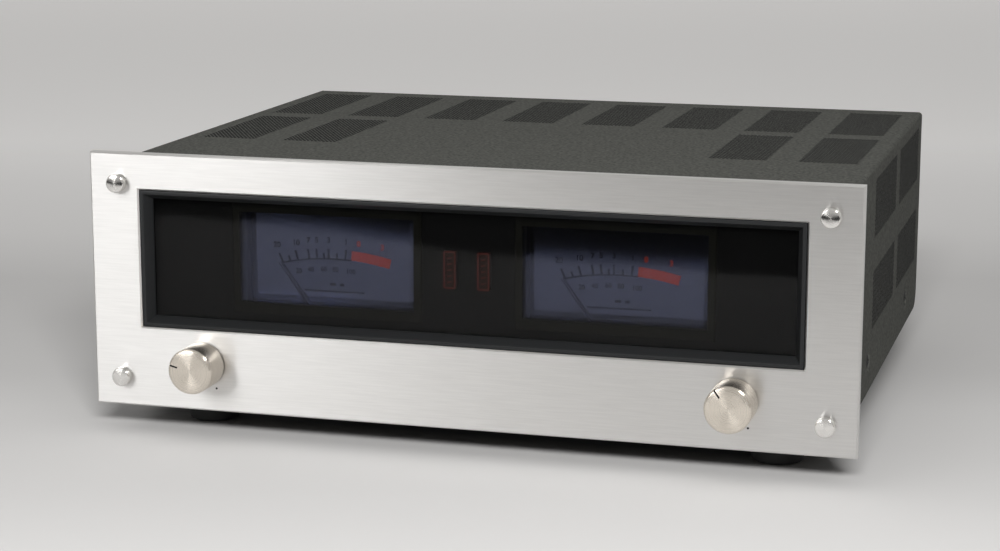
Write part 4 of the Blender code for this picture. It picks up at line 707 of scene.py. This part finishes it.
# Indicator lenses: a thin red outline with short bars on each dark window, joined by a moulded web
indicator = {"width": 0.006, "chamfer": 0.0005, "line": 0.00038, "inset": 0.0003, "ink": 0.00008, "bars": 5,
             "barHalf": 0.0011, "barRise": 0.0003, "barLine": 0.8, "web": 0.0012, "webHalf": 0.004,
             "webOverlap": 0.0005}


def makeIndicators():
    low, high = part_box("indicator_lens")
    nearY, farY = low.y - indicator["ink"], low.y + indicator["ink"] / 2
    chamfer, width, inset = indicator["chamfer"], indicator["width"], indicator["inset"]
    half, rise = indicator["barHalf"], indicator["barRise"]
    marks, windows = [], []
    for left in (low.x, high.x - width):
        points = [(x, y, z) for y, cut in ((low.y, chamfer), (low.y + chamfer, 0.0), (high.y, 0.0))
                  for x, z in corners(left + cut, left + width - cut, low.z + cut, high.z - cut)]
        windows.append((points, barFaces(3)))
        a, b, c, d = left + inset, left + width - inset, low.z + inset, high.z - inset
        for route in (((a, c), (a, d)), ((b, c), (b, d)), ((a, c), (b, c)), ((a, d), (b, d))):
            marks.append(strip(route, indicator["line"], nearY, farY))
        middle = (a + b) / 2
        for k in range(indicator["bars"]):
            z = c + (d - c) * (k + 1) / (indicator["bars"] + 1)
            marks.append(strip(((middle - half, z - rise), (middle + half, z + rise)),
                               indicator["line"] * indicator["barLine"], nearY, farY))
    points, faces = joined(windows)
    addPiece("indicator_windows", points, faces, finish("lensDark"), "chassis",
             ["indicator_lens"])
    points, faces = joined(marks)
    addPiece("indicator_marks", points, faces, finish("dimRedInk"), "chassis", weld=False)

    web, overlap = indicator["web"], indicator["webOverlap"]
    webLow = Vector((low.x + width - overlap, high.y - web, (low.z + high.z) / 2 - indicator["webHalf"]))
    webHigh = Vector((high.x - width + overlap, high.y - web / 2, webLow.z + 2 * indicator["webHalf"]))
    points = [(x, y, z) for y in (webLow.y, webHigh.y)
              for x, z in corners(webLow.x, webHigh.x, webLow.z, webHigh.z)]
    addPiece("indicator_web", points, barFaces(2), finish("blackPaint"), "chassis")


makeIndicators()

# Small black dots printed on the faceplate at the end of each knob's travel
plateDots = {"radius": 0.00055, "ink": 0.00003, "steps": 24, "places": ((-0.129, -0.0533), (0.143, -0.0538))}
for number, (x, z) in enumerate(plateDots["places"], 1):
    front, radius = plateFront - plateDots["ink"], plateDots["radius"]
    points, faces = spin([(0, front), (radius, front), (radius, plateFront), (0, plateFront)],
                         (x, 0, plateMiddleZ + z), plateDots["steps"])
    addPiece(f"plate_dot_{number}", points, faces, finish("printInk"), "chassis")
print("bezel and printed marks made")

# Pan-head screws with a cross recess, for the cover, the rear panel and the feet
panScrew = {"radius": 0.0034, "rise": 0.0021, "shank": 0.0015, "length": 0.004, "crown": (0.55, 0.45),
            "rings": (0.72, 0.85, 0.94, 0.985), "brim": 0.35, "steps": 40, "crossHalf": 0.00042,
            "crossReach": 0.0019, "crossDepth": 0.0013, "crossEnd": 0.8, "crossStep": 0.00003}


def panHead(centre, axis, facing, face, turn):
    # Domed head that faces along the axis: facing is -1 or 1, face is where its underside rests, and turn
    # is that of its cross in radians
    radius, rise, shank, length = (panScrew[key] for key in ("radius", "rise", "shank", "length"))
    reach, depth = panScrew["crossReach"], panScrew["crossDepth"]
    base, dome = panScrew["crown"]
    crown = lambda r: rise * (base + dome * math.sqrt(max(0.0, 1 - (r / radius) ** 2)))
    rings = [0.0, reach / 2, reach, reach + panScrew["crossStep"]] + [radius * s for s in panScrew["rings"]]
    profile = [(r, crown(r)) for r in rings]
    profile += [(radius, rise * panScrew["brim"]), (radius, 0.0), (shank, 0.0), (shank, -length), (0, -length)]
    dents = [(0, -depth), (0, -depth), (0, -depth * panScrew["crossEnd"])] + [(0, 0)] * (len(profile) - 3)
    profile = [(r, face + facing * h) for r, h in profile]
    dents = [(r, facing * h) for r, h in dents]
    return spin(profile, centre, panScrew["steps"], dents, 4, turn, panScrew["crossHalf"], axis)


def addScrews(name, screws, material="zincSteel"):
    points, faces = joined([(p, f.tolist()) for p, f in (panHead(*screw) for screw in screws)])
    addPiece(name, points, faces, finish(material), "chassis")


dishFloor = coverHigh.x - cover["dishDepth"]
dishSpots = [(side, y) for side in (-1, 1) for y in dishPlaces]
addScrews("cover_screws", [((0, y, dishZ), "x", side, side * dishFloor, cover["screwTurn"] + k)
                           for k, (side, y) in enumerate(dishSpots)], "blackScrew")

rearScrews = {"topDrop": 0.006, "top": (-0.165, -0.055, 0.055, 0.165), "side": 0.172, "sideRise": 0.030,
              "turnStep": 0.5}
panelLow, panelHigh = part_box("rear_panel")
places = [(x, panelHigh.z - rearScrews["topDrop"]) for x in rearScrews["top"]]
places += [(side * rearScrews["side"], panelLow.z + rearScrews["sideRise"]) for side in (-1, 1)]
addScrews("rear_panel_screws", [((x, 0, z), "y", 1, panelHigh.y, rearScrews["turnStep"] * k)
                                for k, (x, z) in enumerate(places)], "nickel")

# Feet: turned rubber with a round tread edge, each with its screw up inside the pocket
foot = {"round": 0.0012, "roundSteps": 5, "tread": 0.013, "bore": 0.0025, "pocket": 0.006,
        "pocketDepth": 0.010, "top": 0.015, "topRound": 0.0006, "steps": 72, "screwTurn": 0.4}
for place in ("front_left", "front_right", "rear_left", "rear_right"):
    centre, topZ = centreOf("foot_" + place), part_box("foot_" + place)[1].z
    tread, pocketZ = foot["tread"] - foot["round"], foot["pocketDepth"]
    profile = [(foot["bore"], topZ), (foot["top"] - foot["topRound"], topZ),
               (foot["top"], topZ - foot["topRound"])]
    profile += roundedCorner((tread, foot["round"]), foot["round"], 0, -90, foot["roundSteps"])
    profile += [(foot["pocket"], 0.0), (foot["pocket"], pocketZ), (foot["bore"], pocketZ)]
    points, faces = spin(profile + profile[:1], centre, foot["steps"], axis="z")
    addPiece("rubber_foot_" + place, points, faces, finish("rubber"), "chassis",
             ["foot_" + place], sharpDegrees=40)
    addScrews("foot_screw_" + place, [((centre.x, centre.y, 0), "z", -1, pocketZ, foot["screwTurn"])])

# Input jacks, fuse holder and cord gland, turned finer than the solids, just off the rear panel's face
standOff = 0.0003
outerFace = panelHigh.y + standOff
jack = {"flange": 0.0068, "flangeThick": 0.0020, "flangeEdge": 0.0003, "barrel": 0.0041, "barrelEnd": 0.0094,
        "barrelEdge": 0.0004, "bore": 0.0016, "boreDepth": 0.007, "mouth": 0.0011, "mouthFloor": 0.0010,
        "mouthDepth": 0.0006, "stem": 0.0047, "stemIn": 0.0133, "steps": 72, "ring": 0.0052,
        "ringGap": 0.00005, "ringEnd": 0.0012, "ringSteps": 48,
        "rings": (("redPlastic", "red_plastic"), ("blackPlastic", "black_plastic"))}


def makeJack(nodeName, ringLook):
    centre, stemEnd = centreOf(nodeName), outerFace - jack["stemIn"]
    face, end = outerFace + jack["flangeThick"], outerFace + jack["barrelEnd"]
    barrel, bore, edge = jack["barrel"], jack["bore"], jack["barrelEdge"]
    mouthEnd = end - jack["mouthDepth"]
    profile = [(0, stemEnd), (jack["stem"], stemEnd), (jack["stem"], outerFace), (jack["flange"], outerFace),
               (jack["flange"], face - jack["flangeEdge"]), (jack["flange"] - jack["flangeEdge"], face),
               (barrel, face), (barrel, end - edge), (barrel - edge, end), (bore + jack["mouth"], end),
               (bore + jack["mouthFloor"], mouthEnd), (bore, mouthEnd), (bore, end - jack["boreDepth"]),
               (0, end - jack["boreDepth"])]
    points, faces = spin(profile, centre, jack["steps"])
    addPiece("turned_" + nodeName, points, faces, finish("nickel"), "chassis", [nodeName],
             sharpDegrees=30)
    inner, start, end = barrel + jack["ringGap"], face + jack["ringGap"], face + jack["ringEnd"]
    ring = [(inner, start), (jack["ring"], start), (jack["ring"], end), (inner, end), (inner, start)]
    points, faces = spin(ring, centre, jack["ringSteps"])
    material, slot = ringLook
    addPiece("colour_ring_" + nodeName, points, faces, finish(material), "chassis")


fuse = {"flange": 0.0085, "flangeThick": 0.0020, "groove": 0.0052, "grooveEnd": 0.0028, "cap": 0.0066,
        "end": 0.0142, "chamfer": 0.001, "body": 0.006, "bodyIn": 0.025, "slotHalf": 0.0007,
        "slotDepth": 0.0012, "slotEdge": 0.0004, "slotTurn": 0.6, "steps": 96}


def makeFuse():
    end, face = outerFace + fuse["end"], outerFace + fuse["flangeThick"]
    cap, groove, flange, chamfer = (fuse[key] for key in ("cap", "groove", "flange", "chamfer"))
    grooveEnd, bodyEnd = outerFace + fuse["grooveEnd"], outerFace - fuse["bodyIn"]
    profile = [(0, end), (cap - chamfer - fuse["slotEdge"], end), (cap - chamfer, end), (cap, end - chamfer),
               (cap, grooveEnd), (groove, grooveEnd), (groove, face), (flange, face), (flange, outerFace),
               (fuse["body"], outerFace), (fuse["body"], bodyEnd), (0, bodyEnd)]
    dents = [(0, -fuse["slotDepth"])] * 3 + [(0, 0)] * (len(profile) - 3)
    points, faces = spin(profile, centreOf("fuse_holder"), fuse["steps"], dents, 2, fuse["slotTurn"],
                         fuse["slotHalf"])
    addPiece("capped_fuse_holder", points, faces, finish("blackPlastic"), "chassis",
             ["fuse_holder"], sharpDegrees=30)


gland = {"bore": 0.0038, "flange": 0.0076, "neck": 0.0057, "outer": 0.0045, "inner": 0.002, "rim": 0.0012,
         "taper": 0.001, "edge": 0.0004, "mouth": 0.0006, "steps": 64}


def makeGland():
    start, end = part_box("cord_gland")[0].y, outerFace + gland["outer"]
    bore, flange, neck, edge, mouth = (gland[key] for key in ("bore", "flange", "neck", "edge", "mouth"))
    innerFace, taper = start + gland["inner"], flange - gland["taper"]
    profile = [(bore + edge, start), (flange - edge, start), (flange, start + edge), (flange, innerFace),
               (neck, innerFace), (neck, outerFace), (flange, outerFace), (flange, outerFace + gland["rim"]),
               (taper - edge, end - edge / 2), (taper - 2 * edge, end), (bore + mouth, end),
               (bore, end - mouth), (bore, start + edge)]
    points, faces = spin(profile + profile[:1], centreOf("cord_gland"), gland["steps"])
    addPiece("rubber_cord_gland", points, faces, finish("rubber"), "chassis",
             ["cord_gland"], sharpDegrees=35)


for nodeName, ringLook in zip(("input_jack_upper", "input_jack_lower"), jack["rings"]):
    makeJack(nodeName, ringLook)
makeFuse()
makeGland()
print("rear fittings made")

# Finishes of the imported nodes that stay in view
finishOf = {
    "smokedAcrylic": ["smoked_window"],
    "olivePlastic": ["meter_surround_left", "meter_surround_right"],
    "blueAcrylic": ["meter_cover_left", "meter_cover_right"],
    "dialGloss": ["meter_dial_left", "meter_dial_right"],
    "needlePaint": ["meter_needle_left", "meter_needle_right"],
    "blackPlastic": ["meter_case_left", "meter_case_right", "indicator_light_box", "speaker_terminal_housing",
                     "ac_outlets", "lever_left_minus", "lever_right_minus"],
    "redPlastic": ["lever_left_plus", "lever_right_plus"],
    "lampGlass": ["indicator_lamps"],
    "blackPaint": ["sub_chassis"],
    "darkZinc": ["chassis_pan"],
    "zincSteel": ["capacitor_clamp", "meter_movement_left", "meter_movement_right",
                  "gain_pot_left", "gain_pot_right", "gain_shaft_left", "gain_shaft_right"],
    "panelPaint": ["rear_panel", "transformer_bell_front", "transformer_bell_rear"],
    "coreSteel": ["transformer_core"],
    "copperWinding": ["transformer_coil"],
    "blueSleeve": ["filter_capacitor_left", "filter_capacitor_right"],
    "sinkAluminium": ["heat_sink_left", "heat_sink_right"],
    "nickel": ["output_module_left", "output_module_right"],
    "brownBoard": ["driver_board_left", "driver_board_right", "supply_board"],
}


def paint(nodeName, material):
    slots = nodes[nodeName].data.materials
    slots.clear()
    slots.append(material)


for name, members in finishOf.items():
    for nodeName in members:
        paint(nodeName, finish(name))
paint("faceplate", brushedMetal("brushedPlate"))
print("finishes set")

# Studio: a pale floor, soft lights, an even sky, and a dark cloth on the floor for reflections. The floor's
# painted shades are (distance behind the middle, grey), with the distance turned a little round Z: painted
# shade around and just behind the object, painted light far back, and a painted shadow below the case
floor = {"size": 14.0, "roughness": 0.75, "colour": (1.0, 0.985, 0.97), "turn": 16.0,
         "shades": ((-0.31, 0.60), (-0.20, 0.555), (-0.12, 0.545), (-0.05, 0.545), (0.03, 0.50),
                    (0.15, 0.505), (0.30, 0.52), (0.47, 0.668), (0.69, 0.79), (0.96, 0.98), (1.80, 0.98)),
         "glowFrom": 0.25, "glowTo": 2.5, "glow": 0.27, "underCentre": (-0.0135, 0.0125, 0),
         "underHalf": (0.1585, 0.1175), "underFade": (0.025, 0.020), "underShade": 0.12}


def floorMaterial():
    # Pale grey with painted shade and light: darker around and just behind the object, lighter and with a faint
    # painted glow far back
    made, tree, shader = plainMaterial("paleFloor", floor["colour"], floor["roughness"])
    coordinates = node(tree, "TexCoord")
    turned = node(tree, "Mapping", {"Vector": coordinates.outputs["Object"],
                                    "Rotation": (0, 0, -math.radians(floor["turn"]))})
    behind = node(tree, "SeparateXYZ", {0: turned.outputs["Vector"]}).outputs["Y"]
    first, last = floor["shades"][0][0], floor["shades"][-1][0]
    share = node(tree, "MapRange", {"Value": behind, "From Min": first, "From Max": last})
    glow = node(tree, "MapRange", {"Value": behind, "From Min": floor["glowFrom"], "From Max": floor["glowTo"],
                                   "To Max": floor["glow"]})
    shader.inputs["Emission Color"].default_value = (*floor["colour"], 1)
    tree.links.new(glow.outputs["Result"], shader.inputs["Emission Strength"])
    ramp = node(tree, "ValToRGB", {"Fac": share.outputs["Result"]})
    stops = ramp.color_ramp.elements
    while len(stops) < len(floor["shades"]):
        stops.new(0.5)
    for stop, (distance, shade) in zip(stops, floor["shades"]):
        stop.position = (distance - first) / (last - first)
        stop.color = (*[shade * c for c in floor["colour"]], 1)
    # Painted shadow: the floor below the case is darker, with a soft edge
    moved = node(tree, "VectorMath", {0: coordinates.outputs["Object"], 1: floor["underCentre"]},
                 operation="SUBTRACT")
    away = node(tree, "VectorMath", {0: moved.outputs["Vector"]}, operation="ABSOLUTE")
    away = node(tree, "SeparateXYZ", {0: away.outputs["Vector"]})
    under = [node(tree, "MapRange", {"Value": away.outputs[axis], "From Min": half, "From Max": half + fade,
                                     "To Min": 1.0, "To Max": 0.0}, interpolation_type="SMOOTHSTEP")
             for axis, half, fade in zip("XY", floor["underHalf"], floor["underFade"])]
    both = node(tree, "Math", {0: under[0].outputs["Result"], 1: under[1].outputs["Result"]},
                operation="MULTIPLY")
    dim = node(tree, "MapRange", {"Value": both.outputs["Value"], "To Min": 1.0, "To Max": floor["underShade"]})
    shaded = node(tree, "VectorMath", {0: ramp.outputs["Color"], "Scale": dim.outputs["Result"]},
                  operation="SCALE")
    tree.links.new(shaded.outputs["Vector"], shader.inputs["Base Color"])
    return made


def stagePlane(name, points, faces, material):
    mesh = bpy.data.meshes.new(name)
    mesh.from_pydata(points, [], faces)
    mesh.materials.append(material)
    plane = bpy.data.objects.new(name, mesh)
    bpy.context.scene.collection.objects.link(plane)
    plane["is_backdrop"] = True
    return plane


# The dark cloth: its near edge is shaped, from left to right, and only reflections show it
cloth = {"far": -4.0, "lift": 0.001, "colour": (0.004, 0.004, 0.004), "roughness": 0.9,
         "edge": ((-2.2, -1.00), (-0.90, -0.80), (-0.386, -0.733), (-0.275, -0.705), (-0.235, -0.688),
                  (-0.188, -0.670), (-0.146, -0.654), (-0.078, -0.643), (0.073, -0.630), (2.2, -0.50))}


def makeStage():
    half, lift = floor["size"] / 2, cloth["lift"]
    stagePlane("studioFloor", [(x, y, 0) for x, y in corners(-half, half, -half, half)], [(0, 1, 2, 3)],
               floorMaterial())
    points = [(x, cloth["far"], lift) for x, _ in cloth["edge"]] + [(x, y, lift) for x, y in cloth["edge"]]
    black = plainMaterial("flagCloth", cloth["colour"], cloth["roughness"],
                          extra={"Specular IOR Level": 0.0})[0]
    flag = stagePlane("darkFlag", points, gridFaces(2, len(cloth["edge"])).tolist(), black)
    flag.visible_camera = flag.visible_diffuse = flag.visible_shadow = flag.visible_transmission = False


# Lights: one over the object, and three round the faceplate's middle. Each is left out of one kind of ray:
# the first two give even light, and the cards show in metal and gloss only
overhead = {"place": (-0.10, -0.85, 2.3), "size": (2.6, 2.2), "power": 20.0}
lights = {"frontSoft": dict(azimuth=18.0, elevation=27.0, distance=2.0, size=(0.8, 0.26), power=62.0,
                            unseen="glossy"),
          "brightCard": dict(azimuth=-36.5, elevation=24.0, distance=2.4, size=(1.32, 1.3), power=28.6,
                             unseen="diffuse"),
          "sideCard": dict(azimuth=52.0, elevation=42.0, distance=2.0, size=(0.45, 0.45), power=14.0,
                           unseen="diffuse")}


def areaLight(name, place, aim, size, power, unseen):
    light = bpy.data.lights.new(name, "AREA")
    light.shape = "RECTANGLE"
    light.size, light.size_y = size
    light.energy = power
    lamp = bpy.data.objects.new(name, light)
    lamp.location = place
    lamp.rotation_mode = "QUATERNION"
    lamp.rotation_quaternion = (Vector(aim) - Vector(place)).to_track_quat("-Z", "Y")
    setattr(lamp, "visible_" + unseen, False)
    bpy.context.scene.collection.objects.link(lamp)


def makeLights():
    areaLight("overheadSoft", overhead["place"], (0, 0, 0), overhead["size"], overhead["power"], "glossy")
    centre = Vector((0, plateFront, plateMiddleZ))
    for name, look in lights.items():
        place = centre + direction(look["azimuth"], look["elevation"]) * look["distance"]
        areaLight(name, place, centre, look["size"], look["power"], look["unseen"])


# Sky: an even grey for what sees it directly or mirrored, and dimmer as light on matt surfaces
sky = {"colour": (0.55, 0.543, 0.532), "light": 0.33, "horizon": (0.28, 0.85)}


def makeSky():
    world = bpy.data.worlds.new("studioSky")
    world.use_nodes = True
    tree = world.node_tree
    background = tree.nodes["Background"]
    background.inputs["Color"].default_value = (*sky["colour"], 1)
    path = node(tree, "LightPath")
    seen = node(tree, "Math", {0: path.outputs["Is Camera Ray"], 1: path.outputs["Is Glossy Ray"]},
                operation="MAXIMUM")
    seen = node(tree, "Math", {0: seen.outputs["Value"], 1: path.outputs["Is Transmission Ray"]},
                operation="MAXIMUM")
    coordinates = node(tree, "TexCoord")
    height = node(tree, "SeparateXYZ", {0: coordinates.outputs["Generated"]})
    low, high = sky["horizon"]
    light = node(tree, "MapRange", {"Value": height.outputs["Z"], "From Min": low, "From Max": high,
                                    "To Max": sky["light"]})
    strength = node(tree, "MapRange", {"Value": seen.outputs["Value"], "To Min": light.outputs["Result"],
                                       "To Max": 1.0})
    tree.links.new(strength.outputs["Result"], background.inputs["Strength"])
    bpy.context.scene.world = world
    bpy.context.scene.view_settings.view_transform = "Standard"


makeStage()
makeLights()
makeSky()
print("studio set")

{"cad": [list(corner) for corner in cadBounds], "visual": [list(corner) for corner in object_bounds()]}
